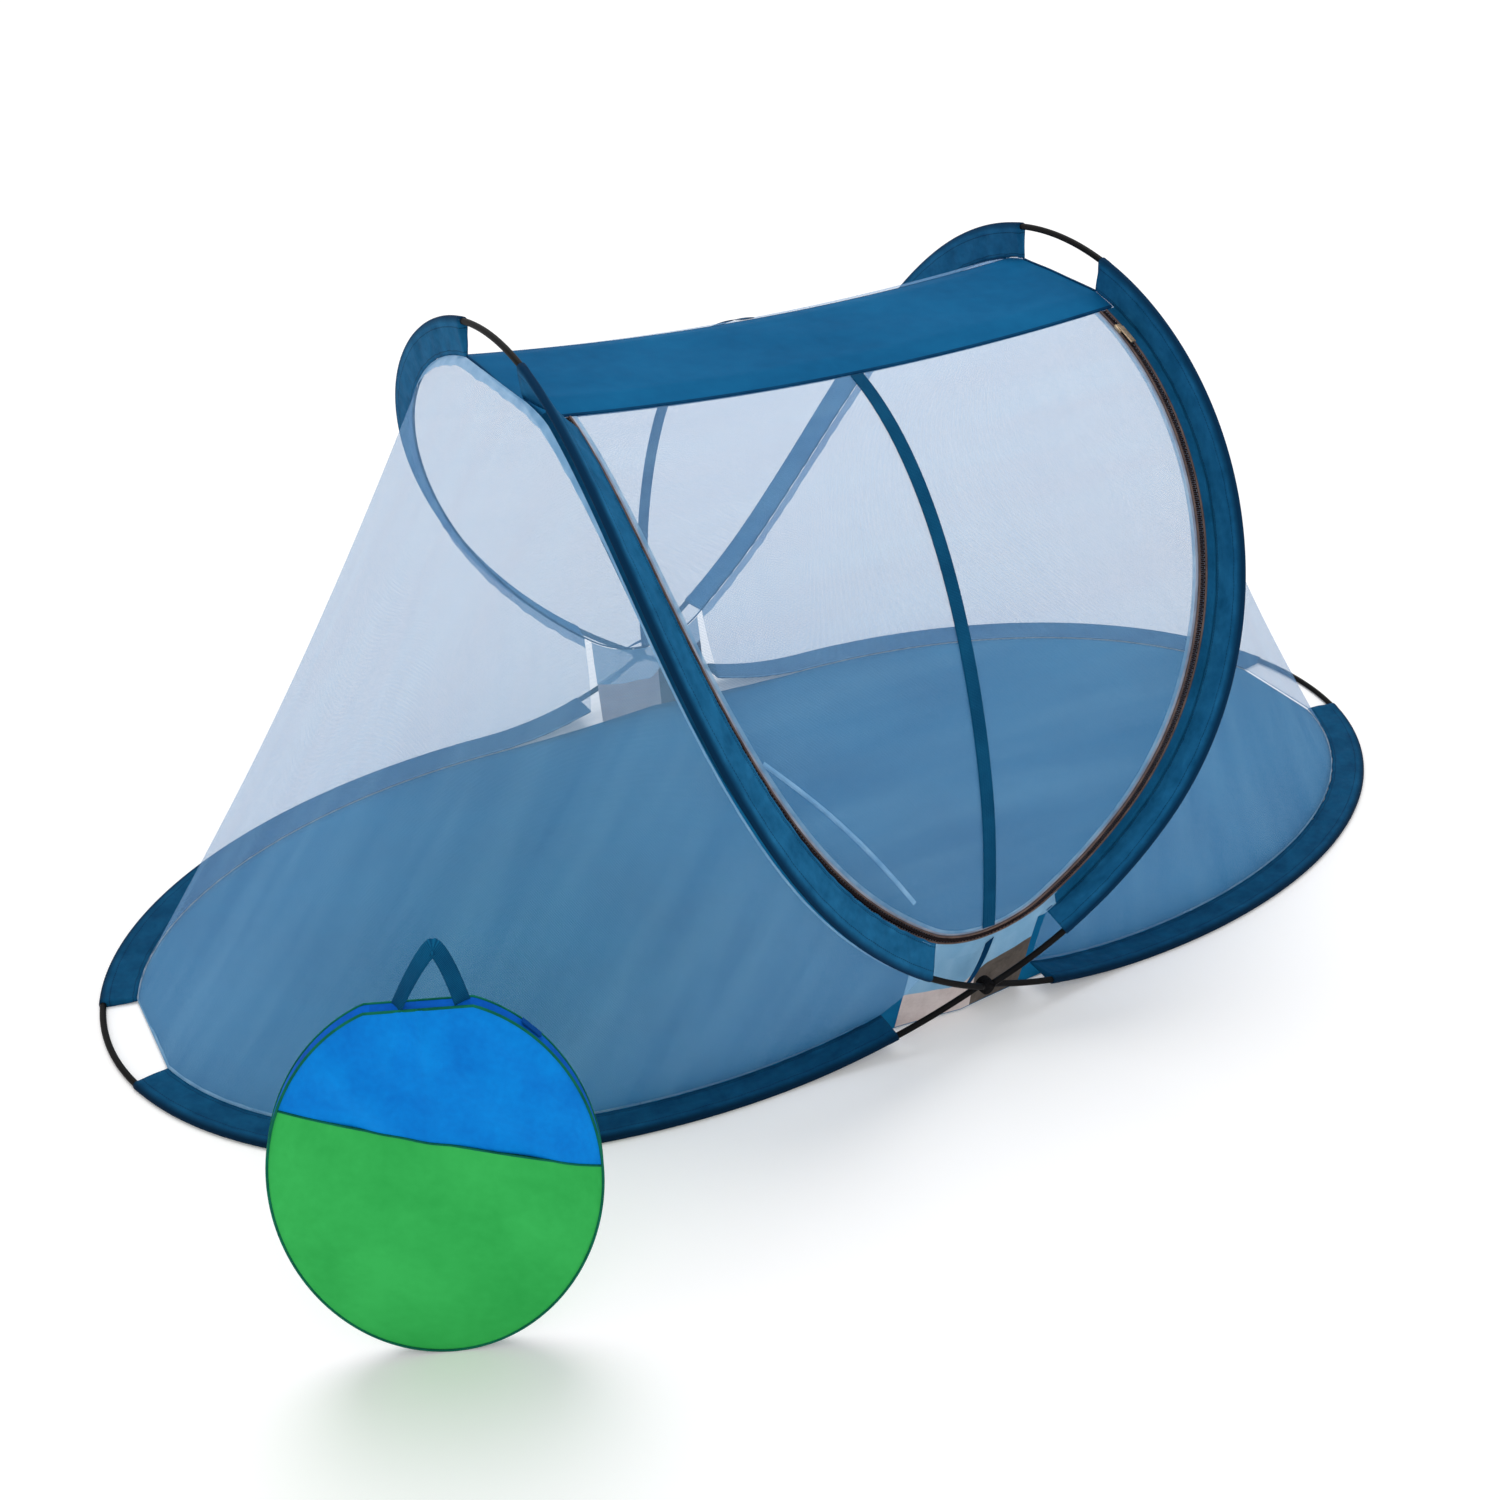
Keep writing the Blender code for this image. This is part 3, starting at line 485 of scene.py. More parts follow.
def hem_cloth(name, light, dark, alpha):
    """A folded strip of net: several layers, so nearly closed."""
    nodes = Nodes(name)
    place = nodes.place()
    weft = nodes.threads(place, NET_PITCH, "X")
    soft = nodes.noise(place, 30.0)
    normal = nodes.bump(nodes.math("ADD", weft, soft), RIB_DEPTH, 0.5)
    return nodes.finish(0.8, nodes.ramp(soft, 0.35, dark, 0.65, light), normal, alpha)


def ribbed(name, light, dark):
    """Webbing: ribs across the band, over cords along it."""
    nodes = Nodes(name)
    place = nodes.place()
    ribs = nodes.threads(place, RIB_PITCH, "X")
    cords = nodes.threads(place, RIB_PITCH * 1.6, "Y")
    slow = nodes.noise(place, 22.0)
    colour = nodes.ramp(nodes.blend(ribs, slow, 0.35), 0.25, dark, 0.75, light)
    height = nodes.math("ADD", ribs, nodes.math("MULTIPLY", cords, 0.5))
    return nodes.finish(0.75, colour, nodes.bump(height, RIB_DEPTH, 0.8))


def plain(name, light, dark, roughness, metallic=0.0, scale=60.0, gloss=0.3):
    """A hard surface with small changes of shade and a fine grain."""
    nodes = Nodes(name)
    grain = nodes.noise(nodes.place("Object"), scale, 5.0)
    paint = nodes.ramp(grain, 0.35, dark, 0.65, light)
    normal = nodes.bump(grain, GRAIN_DEPTH, 0.4)
    return nodes.finish(roughness, paint, normal, metallic=metallic, gloss=gloss)


def make_looks():
    """Every material by its key, with its light and dark screen colours."""
    return {
        "wire": plain("coated wire", (9, 9, 10), (3, 3, 4), 0.5, gloss=0.08),
        "tie": plain("binding tape", (16, 16, 18), (6, 6, 7), 0.7, scale=300.0, gloss=0.06),
        "ferrule": plain("crimped steel", (120, 120, 122), (80, 80, 84), 0.4, 1.0),
        # Sleeve rims: partly the black wire seen through, partly painted shade. The base sleeves are the
        # same cloth in darker colours, for painted shade.
        "sleeve": sleeve_cloth("arch sleeve cloth", (34, 110, 156), (14, 80, 120), (4, 44, 74)),
        "shaded_base_sleeve": sleeve_cloth("base sleeve cloth, painted shade", (16, 82, 120), (4, 58, 92), (3, 34, 58)),
        "border": woven("border cloth", (24, 98, 142), (12, 78, 116), spots=20.0),
        "roof": woven("roof cloth", (16, 100, 148), (8, 84, 130), spots=5.0),
        "floor": woven("floor cloth", (20, 114, 158), (10, 100, 144), FLOOR_THREAD, spots=4.0),
        "hem": woven("hem cloth", (12, 70, 110), (6, 52, 88), spots=18.0),
        "net": netting("mosquito net", (142, 190, 232), (130, 176, 222), 0.44),
        "skirt": netting("doubled net", (158, 202, 232), (134, 184, 220), 1.05),
        "net_hem": hem_cloth("net hem", (154, 200, 238), (124, 176, 220), 0.80),
        "piping": hem_cloth("net piping", (152, 192, 224), (116, 164, 204), 0.75),
        # sheets below the gussets painted in the colours of the ground under the wires: pale for light
        # painted shade
        "shaded_ground_sheet": woven("shaded ground cloth", (222, 210, 208), (200, 186, 184), spots=24.0),
        # dark brown-grey painted deep shadow, for the ground under the wire right of the crossing
        "deep_shadow_sheet": woven("deep shadow cloth", (108, 100, 94), (78, 72, 68), spots=24.0),
        "webbing": ribbed("webbing", (16, 88, 128), (4, 62, 98)),
        "zip_tape": hem_cloth("zip tape", (164, 176, 196), (130, 144, 168), 1.0),
        "zip_piping": woven("zip piping", (116, 98, 92), (80, 68, 68), FINE_THREAD, spots=40.0),
        "zip_teeth": plain("zip teeth", (40, 26, 28), (20, 14, 17), 0.5, scale=400.0, gloss=0.08),
        "slider": plain("antique metal", (206, 180, 150), (160, 134, 104), 0.4, 0.7, 200.0),
        "bag_blue": woven("bag cloth blue", (2, 138, 228), (0, 116, 208),
                          BAG_THREAD, 0.6, 0.06, BAG_CREASE, 14.0),
        "bag_green": woven("bag cloth green", (58, 186, 90), (46, 170, 78),
                           BAG_THREAD, 0.6, 0.06, SMOOTH_CREASE, 8.0),
        "bag_edge": woven("bag edge tape", (20, 112, 86), (10, 88, 70), FINE_THREAD, spots=30.0),
        "bag_side": woven("bag side cloth", (4, 96, 196), (4, 78, 168), BAG_THREAD, spots=20.0),
        "strap": ribbed("bag strap", (14, 96, 138), (2, 54, 92)),
        "bag_pull": ribbed("bag pull", (8, 88, 170), (4, 62, 130)),
    }


# Meshes


def add_object(name, data):
    made = bpy.data.objects.new(name, data)
    bpy.context.scene.collection.objects.link(made)
    return made


def mesh_object(name, points, faces, uvs, look):
    """A smooth mesh; uvs has one pair for each point."""
    mesh = bpy.data.meshes.new(name)
    mesh.from_pydata([tuple(point) for point in points], [], faces)
    layer = mesh.uv_layers.new(name="UVMap")
    corners = np.zeros(len(mesh.loops), np.int32)
    mesh.loops.foreach_get("vertex_index", corners)
    flat = np.array(uvs, np.float32)[corners]
    layer.data.foreach_set("uv", flat.ravel())
    mesh.polygons.foreach_set("use_smooth", [True] * len(mesh.polygons))
    mesh.materials.append(LOOKS[look])
    mesh.update()
    return add_object(name, mesh)


def second_look(piece, look, test):
    """Give another look to the faces whose centre passes the test."""
    piece.data.materials.append(LOOKS[look])
    for face in piece.data.polygons:
        if test(face.center):
            face.material_index = 1


def lengths(points):
    """Distance along a run of points, from 0 at the first."""
    run = [0.0]
    for before, after in zip(points, points[1:]):
        run.append(run[-1] + (Vector(after) - Vector(before)).length)
    return run


def grid(name, rows, look, across=None, ring=False, capped=False, flip=False):
    """A mesh through rows of points, with UVs in metres along and across the rows."""
    width = len(rows[0])
    along = lengths([row[width // 2] for row in rows])
    points, uvs, faces = [], [], []
    for distance, row in zip(along, rows):
        points += row
        uvs += [(distance, spot) for spot in across or lengths(row)]
    for row in range(len(rows) - 1):
        for column in range(width if ring else width - 1):
            here = row * width + column
            beside = row * width + (column + 1) % width
            faces.append((here, beside, beside + width, here + width))
    if capped:
        faces.append(tuple(reversed(range(width))))
        faces.append(tuple(range(len(points) - width, len(points))))
    if flip:
        faces = [tuple(reversed(face)) for face in faces]
    return mesh_object(name, points, faces, uvs, look)


def thicken(piece, thickness, offset=0.0):
    solid = piece.modifiers.new("thickness", "SOLIDIFY")
    solid.thickness = thickness
    solid.offset = offset
    return piece


def crosswise(points):
    """Two directions across a run at each of its points, turned as little as possible."""
    made = []
    side = None
    for place in range(len(points)):
        before = points[max(place - 1, 0)]
        after = points[min(place + 1, len(points) - 1)]
        travel = (after - before).normalized()
        if side is None:
            helper = Vector((0.0, 0.0, 1.0)) if abs(travel.z) < 0.9 else Vector((1.0, 0.0, 0.0))
            side = travel.cross(helper).normalized()
        side = (side - travel * side.dot(travel)).normalized()
        made.append((side, travel.cross(side)))
    return made


def tube(name, points, radius, look, sides=8):
    """A round tube along the points, closed at both ends."""
    turns = [2 * math.pi * step / sides for step in range(sides)]
    rows = []
    for point, (side, up) in zip(points, crosswise(points)):
        rows.append([point + side * math.cos(turn) * radius + up * math.sin(turn) * radius
                     for turn in turns])
    return grid(name, rows, look, ring=True, capped=True)


def spread(first, last, count):
    return [first + (last - first) * step / (count - 1) for step in range(count)]


def between(first, last, parts):
    """The places that cut the way from first to last into equal parts."""
    return [first.lerp(last, step / parts) for step in range(1, parts)]


def halve(low, high, test):
    """The place between low and high up to which the test is true."""
    for _ in range(40):
        middle = (low + high) / 2
        if test(middle):
            low = middle
        else:
            high = middle
    return (low + high) / 2


def ripple(along, across, seed, pitch):
    """A smooth wrinkle height between about -1 and 1."""
    turn = 2 * math.pi * along / pitch
    return (
        math.sin(turn + seed)
        + 0.6 * math.sin(turn * 1.63 + 2.1 * seed + 2.5 * across)
        + 0.4 * math.sin(turn * 0.47 - seed + across)
    ) / 2


# Outline and profile of the leaves


def base_profile(reach):
    """X, Z and slope of a base leaf."""
    slope = math.asin(max(0.0, RISE_RUN - reach) / RISE_RADIUS)
    return reach, WIRE_LEVEL + RISE_RADIUS * (1 - math.cos(slope)), -slope


def arch_profile(reach):
    """X, Z and slope of an arch leaf."""
    if reach <= FLEX_AT:
        slope = ROOT_ANGLE + reach / LOWER_RADIUS
        across = LOWER_RADIUS * (math.sin(slope) - math.sin(ROOT_ANGLE))
        up = LOWER_RADIUS * (math.cos(ROOT_ANGLE) - math.cos(slope))
        return across, CROSSING_HEIGHT + up, slope
    flex_x, flex_z, _ = arch_profile(FLEX_AT)
    slope = FLEX_ANGLE + (reach - FLEX_AT) / UPPER_RADIUS
    across = UPPER_RADIUS * (math.sin(slope) - math.sin(FLEX_ANGLE))
    up = UPPER_RADIUS * (math.cos(FLEX_ANGLE) - math.cos(slope))
    return flex_x + across, flex_z + up, slope


class Leaf:
    """One leaf: share -1 is the crossing, 0 the widest place and 1 the tip."""

    def __init__(self, side, reach, root, widest, widest_at, profile):
        self.side = side
        self.reach = reach
        self.root = root
        self.widest = widest
        self.widest_at = widest_at
        self.profile = profile

    def flat(self, share, inset=0.0):
        if share < 0:
            reach = self.widest_at * (1 + share)
            half = self.widest - (self.widest - self.root) * share * share
            along = Vector((self.widest_at, -2 * (self.widest - self.root) * share))
        else:
            turn = share * math.pi / 2
            span = self.reach - self.widest_at
            reach = self.widest_at + span * math.sin(turn)
            half = self.widest * math.cos(turn)
            along = Vector((span * math.cos(turn), -self.widest * math.sin(turn)))
        along.normalize()
        return reach + inset * along.y, half - inset * along.x

    def point(self, share, end, inset=0.0, lift=0.0):
        reach, half = self.flat(share, inset)
        x, z, slope = self.profile(reach)
        x -= lift * math.sin(slope)
        z += lift * math.cos(slope)
        return Vector((self.side * x, end * half, z))

    def share_at(self, reach, inset=0.0):
        return halve(-1.0, 1.0, lambda share: self.flat(share, inset)[0] < reach)

    def gap_share(self):
        return math.acos(TIP_GAP_HALF / self.widest) / (math.pi / 2)

    def twist(self, share, end):
        """How far a sleeve turns round its wire towards the door, which pulls on it.

        Only the left arch's front sleeve is pulled over like this in the photograph.
        """
        if self.profile is not arch_profile or self.side == RIGHT or end == BACK:
            return 0.0
        places = (self.share_at(BAND_START), TWIST_FADES_AT, self.gap_share())
        return float(np.interp(share, places, (TWIST_FOOT, TWIST_HIGH, TWIST_TIP)))

    def turned(self, share, end, inset, lift):
        """A place on a sleeve's section, turned with the sleeve round its wire."""
        turn = self.twist(share, end)
        across = inset * math.cos(turn) - lift * math.sin(turn)
        out = inset * math.sin(turn) + lift * math.cos(turn)
        return self.point(share, end, across, out)

    def head(self, share, lift):
        """Upper edge of an end net: at the seam, or beside the wire of a turned sleeve."""
        near = min(1.0, self.twist(share, FRONT) / TWIST_HIGH)
        inset = SEAM_INSET + (HEAD_INSET - SEAM_INSET) * near
        return self.point(share, FRONT, inset, lift - HEAD_DROP * near)

    def seam(self, lift, head=False):
        """The inner seam round the leaf, with extra places across the straight tip."""
        shares = spread(self.share_at(BAND_START), self.gap_share(), 90)
        front = [self.point(share, FRONT, SEAM_INSET, lift) for share in shares]
        if head:
            front = [self.head(share, lift) for share in shares]
        back = [self.point(share, BACK, SEAM_INSET, lift) for share in reversed(shares)]
        return front + between(front[-1], back[0], 10) + back


def base_leaf(side):
    root = ROOT_HALF_WIDTH - HOOP_OFFSET
    return Leaf(side, BASE_REACH, root, BASE_WIDEST, BASE_WIDEST_AT, base_profile)


def arch_leaf(side):
    root = ROOT_HALF_WIDTH + HOOP_OFFSET
    return Leaf(side, ARCH_REACH, root, ARCH_WIDEST, ARCH_WIDEST_AT, arch_profile)


def both_leaves(side):
    return (("base", base_leaf(side)), ("arch", arch_leaf(side)))


# How pieces ride


def fit(piece, slot, *nodes):
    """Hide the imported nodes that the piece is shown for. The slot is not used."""
    if nodes:
        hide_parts(*nodes)
    return piece


def ride_upper(piece, side, body=None):
    """Ride on an upper arch, or on the given body, with a mesh of its own."""
    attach(piece, body or f"{dict(SIDES)[side]}_arch_upper")
    low_x, low_z, _ = arch_profile(FLEX_AT)
    tip_x, tip_z, _ = arch_profile(ARCH_REACH)
    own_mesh(piece)
    return piece


def ride_base(piece, body):
    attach(piece, body)
    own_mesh(piece)
    return piece


def ride_leaf(piece, kind, name):
    """Ride on a base leaf; an arch's piece stays in place, with its transform applied to its mesh."""
    if kind == "base":
        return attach(piece, f"{name}_base")
    low_x, low_z, _ = arch_profile(FLEX_AT - FLEX_SPREAD)
    high_x, high_z, _ = arch_profile(FLEX_AT + FLEX_SPREAD)
    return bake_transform(piece)


def cut_size(piece):
    """Width and length of the flat cut of a cloth, from its grid at rest."""
    mesh = piece.data
    uv = np.zeros(len(mesh.loops) * 2, np.float32)
    mesh.uv_layers[0].data.foreach_get("uv", uv)
    length, width = np.ptp(uv.reshape(-1, 2), axis=0)
    return round(float(width), 3), round(float(length), 3)


def declare(piece):
    """Work out the width and length that a single layer of cloth was cut to; nothing is done with them.
    """
    width, length = cut_size(piece)


# Hoops


def build_wires():
    for side, name in SIDES:
        for kind, leaf in both_leaves(side):
            shares = spread(leaf.share_at(WIRE_START), 1.0, LEAF_ROWS)
            front = [leaf.point(share, FRONT) for share in shares]
            back = [leaf.point(share, BACK) for share in reversed(shares[:-1])]
            piece = tube(f"{kind}_wire_{name}", front + back, WIRE_RADIUS, "wire", WIRE_SIDES)
            ride_leaf(piece, kind, name)
            nodes = [f"wire_base_{name}"]
            if kind == "arch":
                nodes = [f"wire_arch_{name}_{part}" for part in ("lower_front", "lower_back", "upper")]
            fit(piece, "wire", *nodes)


def sleeve_profile():
    """The cloth tube's section round the wire, as inset and lift, from seam to seam."""
    round_radius = WIRE_RADIUS + SLEEVE_SLACK
    tangent = math.acos((round_radius - SLEEVE_SEAM_HALF) / BAND_WIDTH)
    upper = []
    for step in range(9):
        share = step / 9
        inset = BAND_WIDTH + (round_radius * math.cos(tangent) - BAND_WIDTH) * share
        lift = SLEEVE_SEAM_HALF + (round_radius * math.sin(tangent) - SLEEVE_SEAM_HALF) * share
        upper.append((inset, lift))
    arc = []
    for turn in spread(tangent, 2 * math.pi - tangent, 11):
        arc.append((round_radius * math.cos(turn), round_radius * math.sin(turn)))
    lower = [(inset, -lift) for inset, lift in reversed(upper)]
    return upper + arc + lower


def build_sleeve(name, leaf, end, seed, look):
    """A cloth tube from the bare crossing to the bare tip, puckered along its seams."""
    profile = sleeve_profile()
    shares = spread(leaf.share_at(BAND_START), leaf.gap_share(), LEAF_ROWS)
    run = lengths([leaf.point(share, end) for share in shares])
    rows = []
    for share, along in zip(shares, run):
        hem = SLEEVE_HEM_LIFT if min(along, run[-1] - along) < SLEEVE_HEM else 0.0
        row = []
        for index, (inset, lift) in enumerate(profile):
            across = max(0.0, min(1.0, inset / BAND_WIDTH))
            puff = math.sin(math.pi * across) if inset > 0 else 0.0
            face = 1 if index <= len(profile) // 2 else -1
            bulge = PUFF_HEIGHT * puff * ripple(along, across * 3, seed + face, PUFF_PITCH)
            bulge += PUCKER_HEIGHT * puff * ripple(along, across * 5, seed * 2.7 + face, PUCKER_PITCH)
            scallop = SCALLOP_DEPTH * across * ripple(along, 0.0, seed * 1.9, SCALLOP_PITCH)
            row.append(leaf.turned(share, end, inset + scallop, lift + bulge + face * hem))
        rows.append(row)
    insets = [inset for inset, _ in profile]
    return grid(name, rows, look, across=insets, ring=True, capped=True, flip=leaf.side * end > 0)


def build_sleeves():
    """Sleeves, each one strip of cloth folded round its wire and sewn along its seam."""
    # the base sleeves take the darker copy of the sleeve cloth, for painted shade
    looks = {"base": ("shaded_base_sleeve", 5), "arch": ("sleeve", 9)}
    for side, name in SIDES:
        for end, place in ENDS:
            for kind, leaf in both_leaves(side):
                look, seed = looks[kind]
                label = f"{kind}_sleeve_{name}_{place}"
                piece = build_sleeve(label, leaf, end, 1.3 * side + 2.9 * end + seed, look)
                ride_leaf(piece, kind, name)
                nodes = [f"sleeve_base_{name}_{place}"]
                if kind == "arch":
                    nodes = [f"sleeve_arch_{name}_{part}_{place}" for part in ("lower", "upper")]
                fit(piece, "sleeve", *nodes)
                length = cut_size(piece)[1]


# Net ends


def build_end_net(side, name):
    """The sloping net of one end, with its hem along the arch and piping at the base."""
    foot = base_leaf(side).seam(SEAM_SPREAD)
    head = arch_leaf(side).seam(-SEAM_SPREAD, head=True)
    run = lengths(head)
    outside = Vector((side * 0.72, 0.0, 0.69))

    def surface(station, share, outward=0.0):
        low, high = foot[station], head[station]
        round_share = math.sin(math.pi * share)
        fold = ripple(run[station], share, 1.7 * side, END_FOLD_PITCH) * (1 - 0.5 * share)
        sag = -0.016 * (high - low).length * round_share
        depth = sag + END_FOLD_HEIGHT * round_share * fold + outward
        return low.lerp(high, share) + outside * depth

    def width_share(station, near):
        """How wide a strip is here: its scallops, and narrow where the cloth hides it."""
        share = 1 + 0.12 * ripple(run[station], 0.0, 3.1 * side, END_STRIP_PITCH)
        spot = head[station]
        if near and spot.y < 0:
            rise = min(1.0, max(0.0, (spot.z - END_HEM_WIDENS_AT) / END_HEM_WIDENS_OVER))
            share *= 0.25 + 0.75 * rise
        if not near and spot.y > 0:
            share *= 0.45
        return share

    rows = [[surface(station, share) for share in spread(0.0, 1.0, 37)] for station in range(len(head))]
    net = grid(f"net_end_{name}", rows, "net")
    fit(ride_base(net, f"{name}_base"), "net", f"end_net_{name}")
    for label, near, width, look in (
        ("hem", 1, END_HEM_WIDTH, "net_hem"),
        ("piping", 0, END_PIPING_WIDTH, "piping"),
    ):
        rows = []
        for station in range(len(head)):
            length = max((head[station] - foot[station]).length, width * 2)
            row = []
            for step in range(4):
                away = width * width_share(station, near) * step / 3 / length
                lift = END_STRIP_LIFT + END_STRIP_CROWN * math.sin(math.pi * step / 3)
                row.append(surface(station, 1 - away if near else away, lift))
            rows.append(row)
        strip = grid(f"net_{label}_{name}", rows, look)
        fit(ride_base(strip, f"{name}_base"), "net")
    declare(net)


# Walls, door and roof


def both_sides(right):
    """Places with x and z from the right to the middle, and on to the left."""
    return right + [(-x, z) for x, z in reversed(right[:-1])]


def out_of_wall(end):
    return Vector((0.0, end * 0.97, 0.24))


class Walls:
    """Place on the front and back walls, from tables along the arches' inner seam."""

    def __init__(self):
        leaf = arch_leaf(RIGHT)
        shares = np.linspace(-1.0, leaf.gap_share(), 1500)
        seam = np.array([leaf.point(share, BACK, SEAM_INSET, SEAM_SPREAD) for share in shares])
        self.x, self.y, self.z = seam.T
        halves = np.array([leaf.flat(share, SEAM_INSET)[1] for share in shares[750:]])
        self.roof_share = float(np.interp(-ROOF_FRONT, -halves, shares[750:]))
        self.top = leaf.point(self.roof_share, BACK, SEAM_INSET, SEAM_SPREAD).z
        self.foot_share = leaf.share_at(WALL_FOOT, SEAM_INSET)
        self.leaf = leaf

    def share(self, z):
        return min(1.0, max(0.0, (z - CROSSING_HEIGHT) / (self.top - CROSSING_HEIGHT)))

    def crown(self, x, z):
        edge = max(float(np.interp(max(z, CROSSING_HEIGHT), self.z, self.x)), BAND_START)
        return max(0.0, 1 - (x / edge) ** 2)

    def point(self, x, z, end, outward=0.0):
        height = max(z, CROSSING_HEIGHT)
        crown = self.crown(x, z)
        share = self.share(z)
        y = float(np.interp(height, self.z, self.y)) - WALL_SAG * crown * math.sin(math.pi * share)
        drop = ROOF_SAG * crown * share ** 3
        return Vector((x, end * y, z - drop)) + out_of_wall(end) * outward

    def seam_at(self, share):
        return arch_profile(self.leaf.flat(share, SEAM_INSET)[0])

    def line(self, inset, count=WALL_ROWS):
        """Right half of a wall's border, from its top to the middle of its round foot."""
        places = []
        for share in spread(self.roof_share, self.foot_share, count):
            x, z, slope = self.seam_at(share)
            away = inset + SEAM_SPREAD
            z = min(z + away * math.cos(slope), self.top - WALL_POINT)
            places.append((x - away * math.sin(slope), z))
        x, z, slope = self.seam_at(self.foot_share)
        x -= SEAM_SPREAD * math.sin(slope)
        z += SEAM_SPREAD * math.cos(slope)
        radius = x / math.sin(slope)
        centre = z + radius * math.cos(slope)
        for turn in spread(slope, 0.0, 16)[1:]:
            away = radius - inset
            places.append((away * math.sin(turn), centre - away * math.cos(turn)))
        return places

    def border(self, inset, count=BORDER_ROWS):
        """The border from top right to top left, leaning over with the zip."""
        lean = ZIP_LEAN * min(1.0, max(0.0, inset / ZIP_INSET))
        return [(x + lean, z) for x, z in both_sides(self.line(inset, count))]

    def front_line(self, inset, outward, count=BORDER_ROWS):
        return [self.point(x, z, FRONT, outward) for x, z in self.border(inset, count)]

    def lap(self):
        """Places where the front wall's cloth laps over the sleeves, beside its border."""
        shares = spread(self.roof_share, self.foot_share, BORDER_ROWS)
        low = both_sides(self.line(-LAP_OVER, BORDER_ROWS)[BORDER_ROWS:])
        middle = [self.point(x, z, FRONT, LAP_OUT) for x, z in low]
        right, left = ([leaf.turned(share, FRONT, BAND_WIDTH - LAP_IN, LAP_LIFT) for share in shares]
                       for leaf in (self.leaf, arch_leaf(LEFT)))
        return right + middle + list(reversed(left))


def border_strip(name, walls, inner, outer, columns, outward, look, lap=False):
    """A strip of the front wall between two distances from its seam."""
    lines = [walls.front_line(inset, outward) for inset in spread(inner, outer, columns)]
    if lap:
        lines.insert(0, walls.lap())
    return grid(name, list(zip(*lines)), look)


def build_zip(walls):
    """The door's zip: tapes, two rows of teeth and piping on both sides."""
    surround = border_strip("door_border", walls, 0.0, ZIP_INSET, 5, BORDER_LIFT, "border", lap=True)
    second_look(surround, "skirt",
                lambda spot: abs(spot.x) < WALL_FOOT - SKIRT_SIDE and spot.z < walls.top / 2)
    fit(ride_upper(surround, RIGHT), "net", "door_surround")
    inner = ZIP_INSET + ZIP_WIDTH
    tape = border_strip("zip_tape", walls, ZIP_INSET, inner, 5, TAPE_LIFT, "zip_tape")
    fit(ride_upper(tape, RIGHT), "zip", "door_zip")
    for label, inset in (("outer", ZIP_INSET + PIPING_OUTER), ("inner", inner - PIPING_INNER)):
        line = walls.front_line(inset, PIPING_LIFT, 150)
        piece = tube(f"zip_piping_{label}", line, PIPING_RADIUS, "zip_piping")
        fit(ride_upper(piece, RIGHT), "zip")
    build_teeth(walls)
    declare(surround)
    declare(tape)


def build_teeth(walls):
    """The closed teeth: small blocks a pitch apart, from either tape in turn."""
    centre = walls.front_line(ZIP_INSET + TEETH_INSET, TEETH_LIFT, 240)
    run = lengths(centre)
    track = np.array(centre)
    outward = out_of_wall(FRONT)
    quads = ((0, 1, 2, 3), (4, 5, 6, 7), (0, 1, 5, 4), (1, 2, 6, 5), (2, 3, 7, 6), (3, 0, 4, 7))
    points, faces, uvs = [], [], []
    for tooth in range(int(run[-1] / TOOTH_PITCH)):
        distance = (tooth + 0.5) * TOOTH_PITCH
        here, ahead = (Vector([float(np.interp(spot, run, track[:, axis])) for axis in range(3)])
                       for spot in (distance, distance + TOOTH_PITCH))
        travel = (ahead - here).normalized()
        across = travel.cross(outward).normalized()
        shift = across * (TOOTH_SHIFT if tooth % 2 else -TOOTH_SHIFT)
        faces += [tuple(len(points) + corner for corner in quad) for quad in quads]
        for high in (0, 1):
            wide = TOOTH_HALF_WIDTH * (1 - 0.25 * high)
            long = TOOTH_PITCH * 0.40 * (1 - 0.3 * high)
            lift = outward * TOOTH_HEIGHT * high
            for x, y in ((-1, -1), (1, -1), (1, 1), (-1, 1)):
                points.append(here + shift + across * x * wide + travel * y * long + lift)
                uvs.append((distance, x * wide))
    piece = mesh_object("zip_teeth", points, faces, uvs, "zip_teeth")
    return fit(ride_upper(piece, RIGHT), "zip")


def wall_rows(walls, inset, end, columns, low=-1.0, high=1.0):
    """Rows of a wall inside its border, from the top down, with faint hanging folds."""
    rows = []
    lean = ZIP_LEAN if end == FRONT else 0.0
    for x, z in walls.line(inset):
        x = max(x, WALL_POINT)
        row = []
        for share in spread(low, high, columns):
            across = x * share + lean
            edge = (1 - share * share) * math.sin(math.pi * min(1.0, walls.share(z) + 0.12))
            fold = WALL_FOLD_HEIGHT * edge * ripple(across, z * 3, 2.0 + end, WALL_FOLD_PITCH)
            row.append(walls.point(across, z, end, fold))
        rows.append(row)
    return rows


def build_front(walls):
    """The door's net, the band round its edge, its webbing and a fold of slack net."""
    inset = ZIP_INSET + ZIP_WIDTH
    door = grid("door_net", wall_rows(walls, inset, FRONT, 46), "net", flip=True)
    fit(ride_upper(door, RIGHT, "front_door"), "net", "front_door")
    outer, inner = inset - DOOR_BAND_OUTER, inset + DOOR_BAND_INNER
    band = border_strip("door_band", walls, outer, inner, 4, DOOR_BAND_LIFT, "piping")
    fit(ride_upper(band, RIGHT, "front_door"), "net")
    webbing = build_webbing("door_band_middle", walls, FRONT, inset)
    fit(ride_upper(webbing, RIGHT, "front_door"), "webbing", "door_webbing")
    fold = build_fold(walls)
    declare(door)


def webbing_lean(share):
    """How far the door's webbing lies to the right, from its foot (0) to its top (1)."""
    low = WEBBING_FOOT_LEAN * (1 - share) ** 3
    middle = -WEBBING_MIDDLE_LEAN * share * (1 - share)
    return ZIP_LEAN + low + middle + WEBBING_TOP_LEAN * share ** 5


